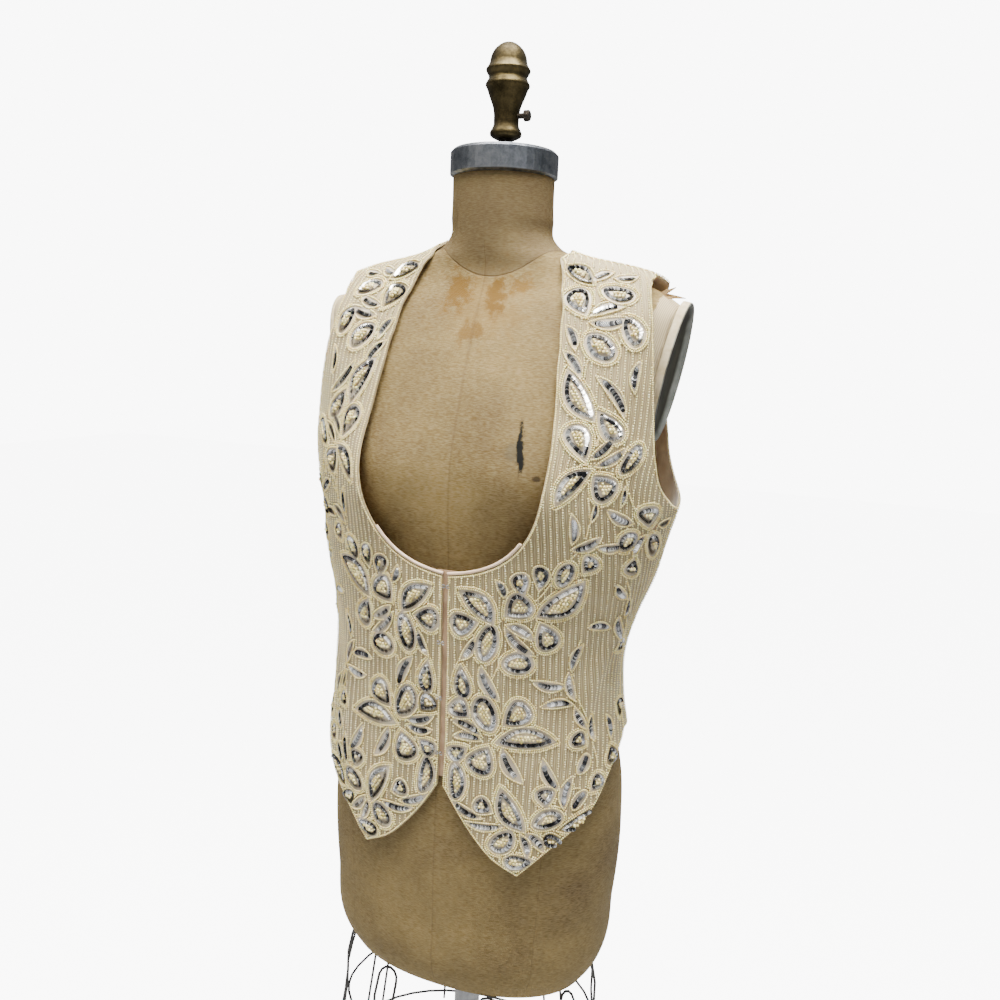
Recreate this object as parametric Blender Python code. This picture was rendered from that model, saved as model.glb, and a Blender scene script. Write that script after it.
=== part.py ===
"""A beaded waistcoat on a limbless dress form.

Run with: blender --background --python part.py

Metres, +Z up, the front faces -Y and the stand's base rests on Z = 0.
Heights on the body are rises above the form's waist line.
The wearer's left is +X.
"""
import math

import bmesh
import bpy
import numpy as np

# Driving dimensions of the form and its stand
WAIST = 1.030
BASE_RADIUS = 0.220
BASE_THICK = 0.022
BASE_BEVEL = 0.006
COLLAR_RADIUS = 0.034
COLLAR_HEIGHT = 0.070
POLE_RADIUS = 0.0145
GAP = 0.0003

# Driving dimensions of the cloth
CLOTH_THICK = 0.0024
SEAM_GAP = 0.0004
CLOSURE_GAP = 0.0030
UNDERLAP_THICK = 0.0012
UNDERLAP_HALF = 0.012
UNDERLAP_CLEAR = 0.0008
UNDERLAP_RISES = (-0.122, -0.110, -0.090, -0.070, -0.050, -0.030, -0.010, 0.010, 0.030, 0.050, 0.070, 0.085,
                  0.093)
ROLL_RADIUS = 0.0016
ROLL_TOP = 0.130
HOOK_COUNT = 4
HOOK_FIRST_RISE = 0.078
HOOK_PITCH = 0.058
HOOK_WIRE = 0.0006
HOOK_LOOP = 0.0016
HOOK_SIDE = -0.0005
EYE_SIDE = 0.0011
LOOP_POINTS = 11

# Mesh fineness
FORM_SIDES = 44
PANEL_COLUMNS = 15
HEM_TIP_COLUMN = 6
BODY_ROWS = 12
ARMHOLE_ROWS = 24
ROW_CROWDING = 1.35
BACK_SEAM_COLUMNS = 4
BACK_NECK_COLUMNS = 12
BUST = {"across": 0.082, "rise": 0.180, "wide": 0.046, "high": 0.050, "swell": 0.016}

# Sections of the form: rise, half_width, front_depth, back_depth, squareness
FORM_SECTIONS = (
    (-0.370, 0.138, 0.088, 0.114, 2.2),
    (-0.354, 0.149, 0.097, 0.125, 2.2),
    (-0.280, 0.161, 0.104, 0.132, 2.2),
    (-0.195, 0.165, 0.106, 0.132, 2.2),
    (-0.120, 0.158, 0.105, 0.122, 2.2),
    (-0.055, 0.133, 0.098, 0.099, 2.2),
    (0.000, 0.121, 0.090, 0.086, 2.2),
    (0.050, 0.124, 0.092, 0.086, 2.3),
    (0.100, 0.134, 0.097, 0.091, 2.4),
    (0.150, 0.147, 0.104, 0.097, 2.5),
    (0.190, 0.155, 0.106, 0.100, 2.5),
    (0.235, 0.168, 0.099, 0.100, 2.6),
    (0.280, 0.187, 0.087, 0.096, 2.7),
    (0.320, 0.196, 0.073, 0.088, 2.7),
    (0.350, 0.193, 0.060, 0.076, 2.5),
    (0.369, 0.166, 0.050, 0.066, 2.2),
    (0.387, 0.122, 0.046, 0.060, 2.0),
    (0.398, 0.091, 0.047, 0.058, 2.0),
    (0.407, 0.067, 0.048, 0.056, 2.0),
    (0.417, 0.0555, 0.049, 0.054, 2.0),
    (0.440, 0.0525, 0.050, 0.052, 2.0),
    (0.478, 0.052, 0.050, 0.051, 2.0),
)

# Sections of the waistcoat's inside: rise, half_width, front_depth, back_depth, squareness
CLOTH_SECTIONS = (
    (-0.240, 0.196, 0.118, 0.150, 2.0),
    (-0.190, 0.187, 0.113, 0.142, 2.0),
    (-0.140, 0.179, 0.110, 0.131, 2.0),
    (-0.090, 0.168, 0.108, 0.122, 2.0),
    (-0.045, 0.162, 0.108, 0.115, 2.0),
    (0.000, 0.160, 0.110, 0.110, 2.0),
    (0.045, 0.168, 0.112, 0.108, 2.0),
    (0.090, 0.180, 0.114, 0.108, 2.1),
    (0.130, 0.188, 0.118, 0.108, 2.1),
    (0.170, 0.1975, 0.119, 0.108, 2.1),
    (0.210, 0.2000, 0.113, 0.107, 2.2),
    (0.250, 0.198, 0.103, 0.106, 2.3),
    (0.285, 0.196, 0.092, 0.101, 2.5),
    (0.320, 0.199, 0.078, 0.092, 2.6),
    (0.3509, 0.1995, 0.0650, 0.0790, 2.5),
    (0.3709, 0.1890, 0.0550, 0.0690, 2.2),
    (0.3885, 0.1450, 0.0500, 0.0630, 2.0),
    (0.3989, 0.0938, 0.0487, 0.0598, 2.0),
    (0.4079, 0.0692, 0.0497, 0.0578, 2.0),
    (0.4179, 0.0574, 0.0507, 0.0558, 2.0),
)

# How far the middle of a body is to the wearer's left: rise, across
FORM_CENTRE = ((0.080, 0.000), (0.200, 0.003), (0.300, 0.006), (0.380, 0.006), (0.420, 0.004), (0.478, 0.003))
CLOTH_CENTRE = ((-0.150, 0.000), (-0.090, -0.003), (-0.045, -0.005), (0.000, -0.004), (0.045, -0.002),
                (0.090, 0.002), (0.140, 0.006), (0.200, 0.006), (0.300, 0.006), (0.380, 0.006), (0.420, 0.004))

# Edges of the waistcoat. Hems: turn from the centre in degrees, rise
FRONT_HEM = ((0.0, -0.130), (6.0, -0.155), (11.0, -0.176), (18.0, -0.199), (26.0, -0.213),
             (36.0, -0.188), (54.0, -0.150), (72.0, -0.107), (90.0, -0.080))
BACK_HEM = ((0.0, -0.092), (30.0, -0.092), (60.0, -0.088), (90.0, -0.080))
# Neck edge of a front: distance across from the centre, rise
FRONT_NECK = ((0.000, 0.0885), (0.015, 0.0905), (0.038, 0.097), (0.058, 0.108), (0.076, 0.126),
              (0.089, 0.150), (0.096, 0.180), (0.098, 0.212), (0.095, 0.250), (0.090, 0.300),
              (0.0850, 0.345), (0.0790, 0.370), (0.0750, 0.390))
BACK_NECK = ((0.000, 0.3930), (0.030, 0.3940), (0.050, 0.3970), (0.060, 0.4010))
# Armhole edges: distance across from the centre, rise. The right strap sits nearer to the neck.
LEFT_ARMHOLE = ((0.1940, 0.168), (0.188, 0.183), (0.183, 0.210), (0.179, 0.250), (0.176, 0.290),
                (0.173, 0.325), (0.169, 0.350), (0.164, 0.370))
RIGHT_ARMHOLE = ((0.1940, 0.168), (0.190, 0.183), (0.188, 0.210), (0.187, 0.240), (0.181, 0.275),
                 (0.173, 0.308), (0.165, 0.335), (0.159, 0.360), (0.157, 0.374))
BACK_ARMHOLE = ((0.1935, 0.168), (0.184, 0.182), (0.174, 0.205), (0.168, 0.235), (0.166, 0.275), (0.166, 0.320),
                (0.163, 0.355))
UNDERARM_RISE = 0.160
NECK_POINT_ACROSS = 0.0715
LEFT_SHOULDER_POINT = 0.157
RIGHT_SHOULDER_POINT = 0.155
# The waistcoat hangs a little to the wearer's left, and more so at the neck
SIDE_SHIFT = 0.0065
SHIFT_LEAN = 0.024
SHIFT_LEAN_FROM = 0.200
RIDGE_FROM = 0.350
FOLD_GIRTH_RADIUS = 0.155
HEM_SHIFT = 2.4

# Soft folds: turn from the front in degrees, rise, lean, half_length, half_width, depth
FOLDS = (
    (62.0, -0.030, 0.55, 0.085, 0.014, 0.0030),
    (40.0, -0.070, 0.30, 0.070, 0.013, 0.0022),
    (72.0, 0.060, -0.40, 0.060, 0.013, 0.0024),
    (118.0, -0.020, -0.45, 0.085, 0.015, 0.0030),
    (142.0, 0.020, -0.20, 0.100, 0.016, 0.0026),
    (104.0, 0.090, 0.40, 0.055, 0.013, 0.0022),
)

# Metalwork of the form
ARM_PLANE_TOP = (0.360, 0.190)
ARM_PLANE_LOW = (0.225, 0.163)
LEFT_SHOULDER_OUT = 0.006
RIGHT_SHOULDER_IN = -0.013
ARM_FLAT_LOW = 0.200
PLATE_RISE = 0.293
PLATE_HALF_WIDE = 0.040
PLATE_HALF_HIGH = 0.068
PLATE_THICK = 0.007
PLATE_LIP = 0.002
PLATE_SIDES = 32
CAP_RADIUS = 0.055
CAP_HEIGHT = 0.026
CAP_BEVEL = 0.003
STUB_RADIUS = 0.0075
STUB_HEIGHT = 0.012
# Turned profile of the finial: height above its foot, radius
FINIAL_PROFILE = ((0.000, 0.0145), (0.003, 0.0160), (0.008, 0.0150), (0.013, 0.0125), (0.019, 0.0112),
                  (0.026, 0.0122), (0.034, 0.0155), (0.041, 0.0198), (0.047, 0.0226), (0.051, 0.0232),
                  (0.055, 0.0208), (0.059, 0.0208), (0.063, 0.0236), (0.068, 0.0232), (0.072, 0.0200),
                  (0.078, 0.0192), (0.084, 0.0160), (0.089, 0.0110), (0.093, 0.0040))
SCREW_HEIGHT = 0.022
SCREW_SHANK = 0.0028
SCREW_HEAD = 0.0055
SCREW_REACH = 0.007
SCREW_LENGTH = 0.013
SCREW_SIDES = 16
CAGE_RIBS = 8
CAGE_WIRE = 0.0015
CAGE_BOTTOM = -0.560
CAGE_RIB_HALF = 0.012
CAGE_FLARE = 0.16
CAGE_BOW = 0.006
CAGE_BOW_DROP = 0.030
CAGE_GIRTH_RADIUS = 0.13
HOOP_RISES = (-0.450, -0.545)
HOOP_STEP = 9.0
HUB_RADIUS = 0.026
HUB_THICK = 0.012

MATERIALS = {
    "beaded_satin": ("#D8CDB0", 0.55, 0.0),
    "pink_satin": ("#D9B9A4", 0.40, 0.0),
    "steel_wire": ("#B8B8B4", 0.30, 1.0),
    "canvas": ("#B09874", 0.90, 0.0),
    "aluminium": ("#B9BABB", 0.38, 1.0),
    "antique_brass": ("#8A7A5C", 0.42, 1.0),
    "dark_steel": ("#35322E", 0.50, 1.0),
    "plate_green": ("#7C8478", 0.50, 0.0),
    "black_wire": ("#1E1D1C", 0.50, 0.0),
    "pole_steel": ("#6E6E6C", 0.35, 1.0),
    "cast_iron": ("#232323", 0.60, 0.0),
}


def linear(channel):
    """One sRGB channel from 0 to 1, as linear light."""
    if channel <= 0.04045:
        return channel / 12.92
    return ((channel + 0.055) / 1.055) ** 2.4


def make_material(name):
    """A Principled material from the table."""
    hex_colour, roughness, metallic = MATERIALS[name]
    channels = [linear(int(hex_colour[i:i + 2], 16) / 255.0) for i in (1, 3, 5)]
    material = bpy.data.materials.new(name)
    material.use_nodes = True
    shader = material.node_tree.nodes["Principled BSDF"]
    shader.inputs["Base Color"].default_value = (*channels, 1.0)
    shader.inputs["Roughness"].default_value = roughness
    shader.inputs["Metallic"].default_value = metallic
    material.diffuse_color = (*channels, 1.0)
    return material


def add_object(name, verts, faces, material):
    """A named object from points and faces, with its normals facing outward."""
    mesh = bpy.data.meshes.new(name)
    mesh.from_pydata([tuple(float(c) for c in v) for v in verts], [], faces)
    work = bmesh.new()
    work.from_mesh(mesh)
    bmesh.ops.recalc_face_normals(work, faces=work.faces)
    work.to_mesh(mesh)
    work.free()
    for polygon in mesh.polygons:
        polygon.use_smooth = True
    mesh.set_sharp_from_angle(angle=math.radians(40.0))
    mesh.materials.append(make_material(material))
    thing = bpy.data.objects.new(name, mesh)
    bpy.context.collection.objects.link(thing)
    return thing


def ring_faces(rings, sides):
    """Faces between rings of points, with flat ends."""
    faces = []
    for i in range(rings - 1):
        for k in range(sides):
            j = (k + 1) % sides
            faces.append((i * sides + k, i * sides + j, (i + 1) * sides + j, (i + 1) * sides + k))
    faces.append(tuple(range(sides))[::-1])
    faces.append(tuple((rings - 1) * sides + k for k in range(sides)))
    return faces


def circle(sides):
    """The cosine and sine of each corner of a regular ring."""
    angles = [2.0 * math.pi * k / sides for k in range(sides)]
    return [(math.cos(angle), math.sin(angle)) for angle in angles]


def smooth_curve(knots, values, where):
    """A smooth curve through the knots, read at the places given."""
    knots = np.asarray(knots, float)
    values = np.asarray(values, float)
    slopes = np.gradient(values, knots)
    where = np.clip(np.asarray(where, float), knots[0], knots[-1])
    cell = np.clip(np.searchsorted(knots, where) - 1, 0, len(knots) - 2)
    step = knots[cell + 1] - knots[cell]
    t = (where - knots[cell]) / step
    start = (2 * t ** 3 - 3 * t ** 2 + 1) * values[cell]
    leave = (t ** 3 - 2 * t ** 2 + t) * step * slopes[cell]
    end = (3 * t ** 2 - 2 * t ** 3) * values[cell + 1]
    arrive = (t ** 3 - t ** 2) * step * slopes[cell + 1]
    return start + leave + end + arrive


def section_value(sections, column, rise):
    """One column of a section table at any rise."""
    return smooth_curve([row[0] for row in sections], [row[column] for row in sections], rise)


def centre_at(centre_rows, rise):
    """How far the middle of a body is to the wearer's left."""
    return smooth_curve([row[0] for row in centre_rows], [row[1] for row in centre_rows], rise)


def section_point(sections, centre_rows, turn, rise):
    """A point on a body. Turn is 0 at the front centre, 90 at the left side, 180 at the back."""
    half_width, front, back, power = (section_value(sections, k, rise) for k in (1, 2, 3, 4))
    side = np.sin(np.radians(turn))
    ahead = np.cos(np.radians(turn))
    x = half_width * np.sign(side) * np.abs(side) ** (2.0 / power)
    depth = np.where(ahead > 0.0, front, back)
    y = -depth * np.sign(ahead) * np.abs(ahead) ** (2.0 / power)
    across = ((np.abs(x) - BUST["across"]) / BUST["wide"]) ** 2
    above = ((rise - BUST["rise"]) / BUST["high"]) ** 2
    y = y - BUST["swell"] * np.exp(-across - above) * np.maximum(ahead, 0.0)
    return np.stack([x + centre_at(centre_rows, rise), y, WAIST + rise + 0.0 * x], axis=-1)


def turn_at(across, rise):
    """The turn at which the cloth's section is this far across."""
    half_width = section_value(CLOTH_SECTIONS, 1, rise)
    power = section_value(CLOTH_SECTIONS, 4, rise)
    share = np.clip(np.abs(across) / half_width, 0.0, 1.0)
    return np.sign(across) * np.degrees(np.arcsin(share ** (power / 2.0)))


def fold_lift(turn, rise):
    """How far the folds move the cloth outward."""
    lift = np.zeros(np.broadcast(turn, rise).shape)
    girth = FOLD_GIRTH_RADIUS * math.pi / 180.0
    for number, (fold_turn, fold_rise, lean, half_length, half_width, depth) in enumerate(FOLDS):
        for side in (-1.0, 1.0):
            uneven = 1.0 + 0.25 * side * math.cos(2.4 * number)
            along = rise - fold_rise - 0.012 * side * math.sin(1.7 * number)
            beside = (turn - side * fold_turn) * girth - side * lean * along
            bell = np.exp(-(beside / half_width) ** 2 - (along / half_length) ** 2)
            lift = lift + depth * uneven * bell
    return lift


def cloth_base(turn, rise):
    """The inside of the waistcoat before it has a thickness."""
    point = section_point(CLOTH_SECTIONS, CLOTH_CENTRE, turn, rise)
    outward = np.stack([point[..., 0], point[..., 1], 0.0 * point[..., 0]], axis=-1)
    outward = outward / np.maximum(np.linalg.norm(outward, axis=-1, keepdims=True), 1e-6)
    return point + outward * fold_lift(turn, rise)[..., None]


def cloth_normal(turn, rise):
    """The outward direction of the cloth."""
    step_turn = 0.5
    step_rise = 0.0005
    along = cloth_base(turn + step_turn, rise) - cloth_base(turn - step_turn, rise)
    up = cloth_base(turn, rise + step_rise) - cloth_base(turn, rise - step_rise)
    normal = np.cross(along, up)
    return normal / np.linalg.norm(normal, axis=-1, keepdims=True)


def cloth_point(turn, rise, out):
    """A point on the cloth, moved out from its inside."""
    return cloth_base(turn, rise) + cloth_normal(turn, rise) * np.asarray(out)[..., None]


def even_path(places, count, crowding=1.0):
    """Places as (turn, rise), spread by their real length, closer at the end if crowded."""
    places = np.asarray(places, float)
    points = section_point(CLOTH_SECTIONS, CLOTH_CENTRE, places[:, 0], places[:, 1])
    steps = np.linalg.norm(np.diff(points, axis=0), axis=1)
    length = np.concatenate([[0.0], np.cumsum(steps)])
    where = length[-1] * (1.0 - (1.0 - np.linspace(0.0, 1.0, count)) ** crowding)
    return np.stack([smooth_curve(length, places[:, k], where) for k in (0, 1)], axis=-1)


def side_shift(rise):
    """How far the front edges are to the wearer's left of the section's middle."""
    return SIDE_SHIFT + SHIFT_LEAN * max(0.0, rise - SHIFT_LEAN_FROM) - float(centre_at(CLOTH_CENTRE, rise))


def edge_places(edge, side=0.0):
    """An edge given across and by rise, as (turn, rise), shifted on the side given."""
    return [(float(turn_at(across + side * side_shift(rise), rise)), rise) for across, rise in edge]


def ridge_rise(across):
    """The rise at which the shoulder ridge is this far across."""
    rises = np.linspace(RIDGE_FROM, CLOTH_SECTIONS[-1][0], 400)
    widths = section_value(CLOTH_SECTIONS, 1, rises)
    return float(np.interp(-across, -widths, rises))


def coons(bottom, top, left, right):
    """Fill a four-sided patch between its edges."""
    s = np.linspace(0.0, 1.0, len(bottom))[None, :, None]
    t = np.linspace(0.0, 1.0, len(left))[:, None, None]
    across = (1 - t) * bottom[None] + t * top[None]
    along = (1 - s) * left[:, None] + s * right[:, None]
    corners = (1 - s) * (1 - t) * bottom[0] + s * (1 - t) * bottom[-1] + (1 - s) * t * top[0] + s * t * top[-1]
    return across + along - corners


def shoulder_seam(side):
    """The shoulder seam from the neck point outward, as (turn, rise)."""
    neck_point = NECK_POINT_ACROSS + side * side_shift(CLOTH_SECTIONS[-1][0])
    shoulder_point = LEFT_SHOULDER_POINT if side > 0.0 else RIGHT_SHOULDER_POINT
    return [(90.0, ridge_rise(a)) for a in np.linspace(neck_point, shoulder_point, 5)]


def armhole_path(places, shoulder_point):
    """The side seam and the armhole above it, from hem to shoulder."""
    side = even_path([(90.0, r) for r in np.linspace(FRONT_HEM[-1][1], UNDERARM_RISE, 5)], BODY_ROWS)
    armhole = [(90.0, UNDERARM_RISE)] + places + [shoulder_point]
    return np.concatenate([side, even_path(armhole, ARMHOLE_ROWS + 1, ROW_CROWDING)[1:]])


def front_places(side):
    """The grid of (turn, rise) of one front, from hem to shoulder."""
    shoulder = shoulder_seam(side)
    rises = np.linspace(FRONT_HEM[0][1], FRONT_NECK[0][1], 5)
    closure = even_path(edge_places([(CLOSURE_GAP / 2.0, rise) for rise in rises], side), BODY_ROWS)
    neck = edge_places([(CLOSURE_GAP / 2.0, FRONT_NECK[0][1])] + list(FRONT_NECK[1:]), side)
    neck = even_path(neck + [shoulder[0]], ARMHOLE_ROWS + 1, ROW_CROWDING)
    hem = [tuple(closure[0])]
    hem += [(turn + side * HEM_SHIFT * math.cos(math.radians(turn)), rise) for turn, rise in FRONT_HEM[1:]]
    tip = hem.index(min(hem, key=lambda place: place[1]))
    inner = even_path(hem[:tip + 1], HEM_TIP_COLUMN)
    outer = even_path(hem[tip:], PANEL_COLUMNS - HEM_TIP_COLUMN + 1)
    armhole = edge_places(LEFT_ARMHOLE if side > 0.0 else RIGHT_ARMHOLE)
    return coons(np.concatenate([inner, outer[1:]]), even_path(shoulder, PANEL_COLUMNS),
                 np.concatenate([closure, neck[1:]]), armhole_path(armhole, shoulder[-1]))


def back_half(side):
    """The back's top edge, from one shoulder point to the centre, and its armhole edge."""
    shoulder = shoulder_seam(side)[::-1]
    seam = even_path(shoulder, BACK_SEAM_COLUMNS + 1)
    neck = [(180.0 - turn, rise) for turn, rise in edge_places(BACK_NECK[:0:-1], side)]
    neck = even_path([shoulder[-1]] + neck + [(180.0, BACK_NECK[0][1])], BACK_NECK_COLUMNS // 2 + 1)
    armhole = [(180.0 - turn, rise) for turn, rise in edge_places(BACK_ARMHOLE)]
    return np.concatenate([seam, neck[1:]]), armhole_path(armhole, shoulder[0])


def back_places():
    """The grid of (turn, rise) of the whole back, with turn 180 at its centre."""
    left_top, left_armhole = back_half(1.0)
    right_top, right_armhole = (mirror_turn(path) for path in back_half(-1.0))
    half_bottom = even_path([(180.0 - turn, rise) for turn, rise in reversed(BACK_HEM)], len(left_top))
    bottom = np.concatenate([half_bottom, mirror_turn(half_bottom)[-2::-1]])
    top = np.concatenate([left_top, right_top[-2::-1]])
    return coons(bottom, top, left_armhole, right_armhole)


def mirror_turn(places):
    """The same places on the other side of the back."""
    return np.stack([360.0 - places[..., 0], places[..., 1]], axis=-1)


def wall(name, places, inner, outer, shift, material):
    """A closed cloth wall over a grid of (turn, rise), between two distances out."""
    rows, columns = places.shape[:2]
    turn, rise = places[..., 0], places[..., 1]
    layers = [cloth_point(turn, rise, np.full(turn.shape, out)) for out in (inner, outer)]
    for layer in layers:
        layer[..., 1] += shift
    verts = np.concatenate([layer.reshape(-1, 3) for layer in layers])
    size = rows * columns
    faces = []
    for row in range(rows - 1):
        for column in range(columns - 1):
            a = row * columns + column
            quad = (a, a + 1, a + columns + 1, a + columns)
            faces.append(quad[::-1])
            faces.append(tuple(i + size for i in quad))
    rim = [(0, c) for c in range(columns)] + [(r, columns - 1) for r in range(1, rows)]
    rim += [(rows - 1, c) for c in range(columns - 2, -1, -1)] + [(r, 0) for r in range(rows - 2, 0, -1)]
    loop = [r * columns + c for r, c in rim]
    for start, end in zip(loop, loop[1:] + loop[:1]):
        faces.append((start, end, end + size, start + size))
    add_object(name, verts, faces, material)


def tube(name, path, radius, material, sides=8, closed=False):
    """A round wire along a path of points."""
    path = np.asarray(path, float)
    count = len(path)
    verts = []
    side = None
    for i in range(count):
        after = path[(i + 1) % count] if closed or i < count - 1 else path[i]
        before = path[i - 1] if closed or i > 0 else path[i]
        along = after - before
        along = along / np.linalg.norm(along)
        if side is None:
            guess = np.array([0.0, 0.0, 1.0]) if abs(along[2]) < 0.9 else np.array([1.0, 0.0, 0.0])
            side = np.cross(along, guess)
        side = side - along * np.dot(side, along)
        side = side / np.linalg.norm(side)
        other = np.cross(along, side)
        for cosine, sine in circle(sides):
            verts.append(path[i] + radius * (cosine * side + sine * other))
    faces = ring_faces(count, sides)
    if closed:
        last = (count - 1) * sides
        faces = faces[:-2] + [(last + k, last + (k + 1) % sides, (k + 1) % sides, k) for k in range(sides)]
    add_object(name, verts, faces, material)


def turned(name, profile, centre, material, sides=32):
    """A turned piece from (height, radius) rows, closed by flat ends."""
    verts = [(centre[0] + radius * cosine, centre[1] + radius * sine, centre[2] + height)
             for height, radius in profile for cosine, sine in circle(sides)]
    add_object(name, verts, ring_faces(len(profile), sides), material)


def arm_lean():
    """How much the flat side of the form leans out as it rises."""
    return (ARM_PLANE_TOP[1] - ARM_PLANE_LOW[1]) / (ARM_PLANE_TOP[0] - ARM_PLANE_LOW[0])


def arm_plane(rise, side):
    """How far out the flat side of the form is, at a rise. The right shoulder is pushed in."""
    moved = RIGHT_SHOULDER_IN if side < 0.0 else LEFT_SHOULDER_OUT
    return ARM_PLANE_LOW[1] + arm_lean() * (rise - ARM_PLANE_LOW[0]) + moved


def form_rises():
    """Ring heights of the torso, closer together at the shoulder."""
    low = np.array([FORM_SECTIONS[0][0], FORM_SECTIONS[1][0]])
    hips = np.linspace(-0.315, 0.155, 13)
    chest = np.linspace(0.180, 0.345, 8)
    shoulder = np.linspace(0.353, 0.428, 13)
    neck = np.linspace(0.442, FORM_SECTIONS[-1][0], 2)
    return np.concatenate([low, hips, chest, shoulder, neck])


def build_torso():
    """The padded torso and neck, as one closed body with flat ends."""
    turns = np.arange(FORM_SIDES) * 360.0 / FORM_SIDES
    rises = form_rises()
    verts = []
    for rise in rises:
        ring = section_point(FORM_SECTIONS, FORM_CENTRE, turns, np.full(FORM_SIDES, rise))
        if rise > ARM_FLAT_LOW:
            ring[:, 0] = np.clip(ring[:, 0], -arm_plane(rise, -1.0), arm_plane(rise, 1.0))
        verts.extend(ring)
    add_object("form_torso", verts, ring_faces(len(rises), FORM_SIDES), "canvas")


def build_arm_plates():
    """Oval plates on the flat sides of the form."""
    layers = ((GAP, 1.0), (PLATE_THICK, 1.0), (PLATE_THICK + PLATE_LIP, 0.94), (PLATE_THICK + PLATE_LIP, 0.86),
              (PLATE_THICK - PLATE_LIP, 0.78))
    for side, label in ((1.0, "left"), (-1.0, "right")):
        verts = []
        for out, share in layers:
            for cosine, sine in circle(PLATE_SIDES):
                rise = PLATE_RISE + PLATE_HALF_HIGH * share * sine
                verts.append((side * (arm_plane(rise, side) + out), PLATE_HALF_WIDE * share * cosine,
                              WAIST + rise - arm_lean() * out))
        add_object("arm_plate_" + label, verts, ring_faces(len(layers), PLATE_SIDES), "plate_green")


def build_neck_metal():
    """The cap on the neck, the stub of the pole, the finial and its screw."""
    neck_top = WAIST + FORM_SECTIONS[-1][0]
    middle = FORM_CENTRE[-1][1]
    cap = ((0.0, CAP_RADIUS - 0.004), (0.002, CAP_RADIUS), (CAP_HEIGHT - CAP_BEVEL, CAP_RADIUS),
           (CAP_HEIGHT, CAP_RADIUS - CAP_BEVEL))
    turned("neck_cap", cap, (middle, 0.0, neck_top + GAP), "aluminium", 40)
    cap_top = neck_top + GAP + CAP_HEIGHT
    turned("pole_stub", ((0.0, STUB_RADIUS), (STUB_HEIGHT, STUB_RADIUS)), (middle, 0.0, cap_top + GAP),
           "dark_steel", 20)
    foot = cap_top + 2.0 * GAP + STUB_HEIGHT
    turned("finial", FINIAL_PROFILE, (middle, 0.0, foot), "antique_brass", 24)
    heights, radii = zip(*FINIAL_PROFILE)
    seat = max(float(smooth_curve(heights, radii, SCREW_HEIGHT + side * SCREW_SHANK)) for side in (-1.0, 0.0, 1.0))
    rows = ((0.0, SCREW_SHANK), (SCREW_REACH, SCREW_SHANK), (SCREW_REACH + 0.0005, SCREW_HEAD),
            (SCREW_LENGTH - 0.001, SCREW_HEAD), (SCREW_LENGTH, SCREW_HEAD - 0.001))
    start = middle + seat + GAP
    verts = [(start + reach, radius * cosine, foot + SCREW_HEIGHT + radius * sine)
             for reach, radius in rows for cosine, sine in circle(SCREW_SIDES)]
    add_object("finial_screw", verts, ring_faces(len(rows), SCREW_SIDES), "dark_steel")


def cage_place(turn, rise):
    """Where the cage's wire runs: from under the torso's rim, down and slightly out."""
    torso_bottom = FORM_SECTIONS[0][0]
    rim = section_point(FORM_SECTIONS, FORM_CENTRE, np.array([turn]), np.array([torso_bottom]))[0]
    rim[2] = 0.0
    outward = rim / np.linalg.norm(rim)
    below = torso_bottom - rise
    spread = CAGE_FLARE * below + CAGE_BOW * math.exp(-((below - CAGE_BOW_DROP) / CAGE_BOW_DROP) ** 2) - CAGE_WIRE
    return rim + outward * spread + np.array([0.0, 0.0, WAIST + rise])


def build_cage():
    """Hairpin ribs under the torso's rim and two hoops inside them."""
    top = FORM_SECTIONS[0][0] - GAP - CAGE_WIRE
    for number in range(CAGE_RIBS):
        turn = (number + 0.5) * 360.0 / CAGE_RIBS
        half_turn = math.degrees(CAGE_RIB_HALF / CAGE_GIRTH_RADIUS)
        legs = np.linspace(CAGE_BOTTOM, top - CAGE_RIB_HALF, 8)
        down = [cage_place(turn - half_turn, r) for r in legs]
        bend = [cage_place(turn - half_turn * math.cos(a), top - CAGE_RIB_HALF * (1.0 - math.sin(a)))
                for a in np.linspace(0.0, math.pi, 7)[1:-1]]
        up = [cage_place(turn + half_turn, r) for r in legs[::-1]]
        tube("cage_rib_%d" % (number + 1), down + bend + up, CAGE_WIRE, "black_wire", 6)
    for number, rise in enumerate(HOOP_RISES):
        ring = []
        for turn in np.arange(0.0, 360.0, HOOP_STEP):
            place = cage_place(turn, rise)
            flat = np.array([place[0], place[1], 0.0])
            ring.append(place - flat / np.linalg.norm(flat) * (2.0 * CAGE_WIRE + GAP))
        tube("cage_hoop_%d" % (number + 1), ring, CAGE_WIRE, "black_wire", 5, closed=True)


def build_stand():
    """The pole below the torso, the hub, the collar and the round base."""
    torso_bottom = WAIST + FORM_SECTIONS[0][0]
    hub_bottom = torso_bottom - GAP - HUB_THICK
    turned("cage_hub", ((0.0, HUB_RADIUS - 0.002), (0.002, HUB_RADIUS), (HUB_THICK, HUB_RADIUS)),
           (0.0, 0.0, hub_bottom), "pole_steel", 28)
    base = ((0.0, BASE_RADIUS), (BASE_THICK - BASE_BEVEL, BASE_RADIUS), (BASE_THICK, BASE_RADIUS - BASE_BEVEL))
    turned("stand_base", base, (0.0, 0.0, 0.0), "cast_iron", 64)
    collar = ((0.0, COLLAR_RADIUS), (COLLAR_HEIGHT * 0.7, COLLAR_RADIUS - 0.006),
              (COLLAR_HEIGHT, COLLAR_RADIUS - 0.012))
    turned("stand_collar", collar, (0.0, 0.0, BASE_THICK + GAP), "cast_iron", 32)
    pole_low = BASE_THICK + COLLAR_HEIGHT + 2.0 * GAP
    pole = ((0.0, POLE_RADIUS), (hub_bottom - GAP - pole_low, POLE_RADIUS))
    turned("stand_pole", pole, (0.0, 0.0, pole_low), "pole_steel", 24)


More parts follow.
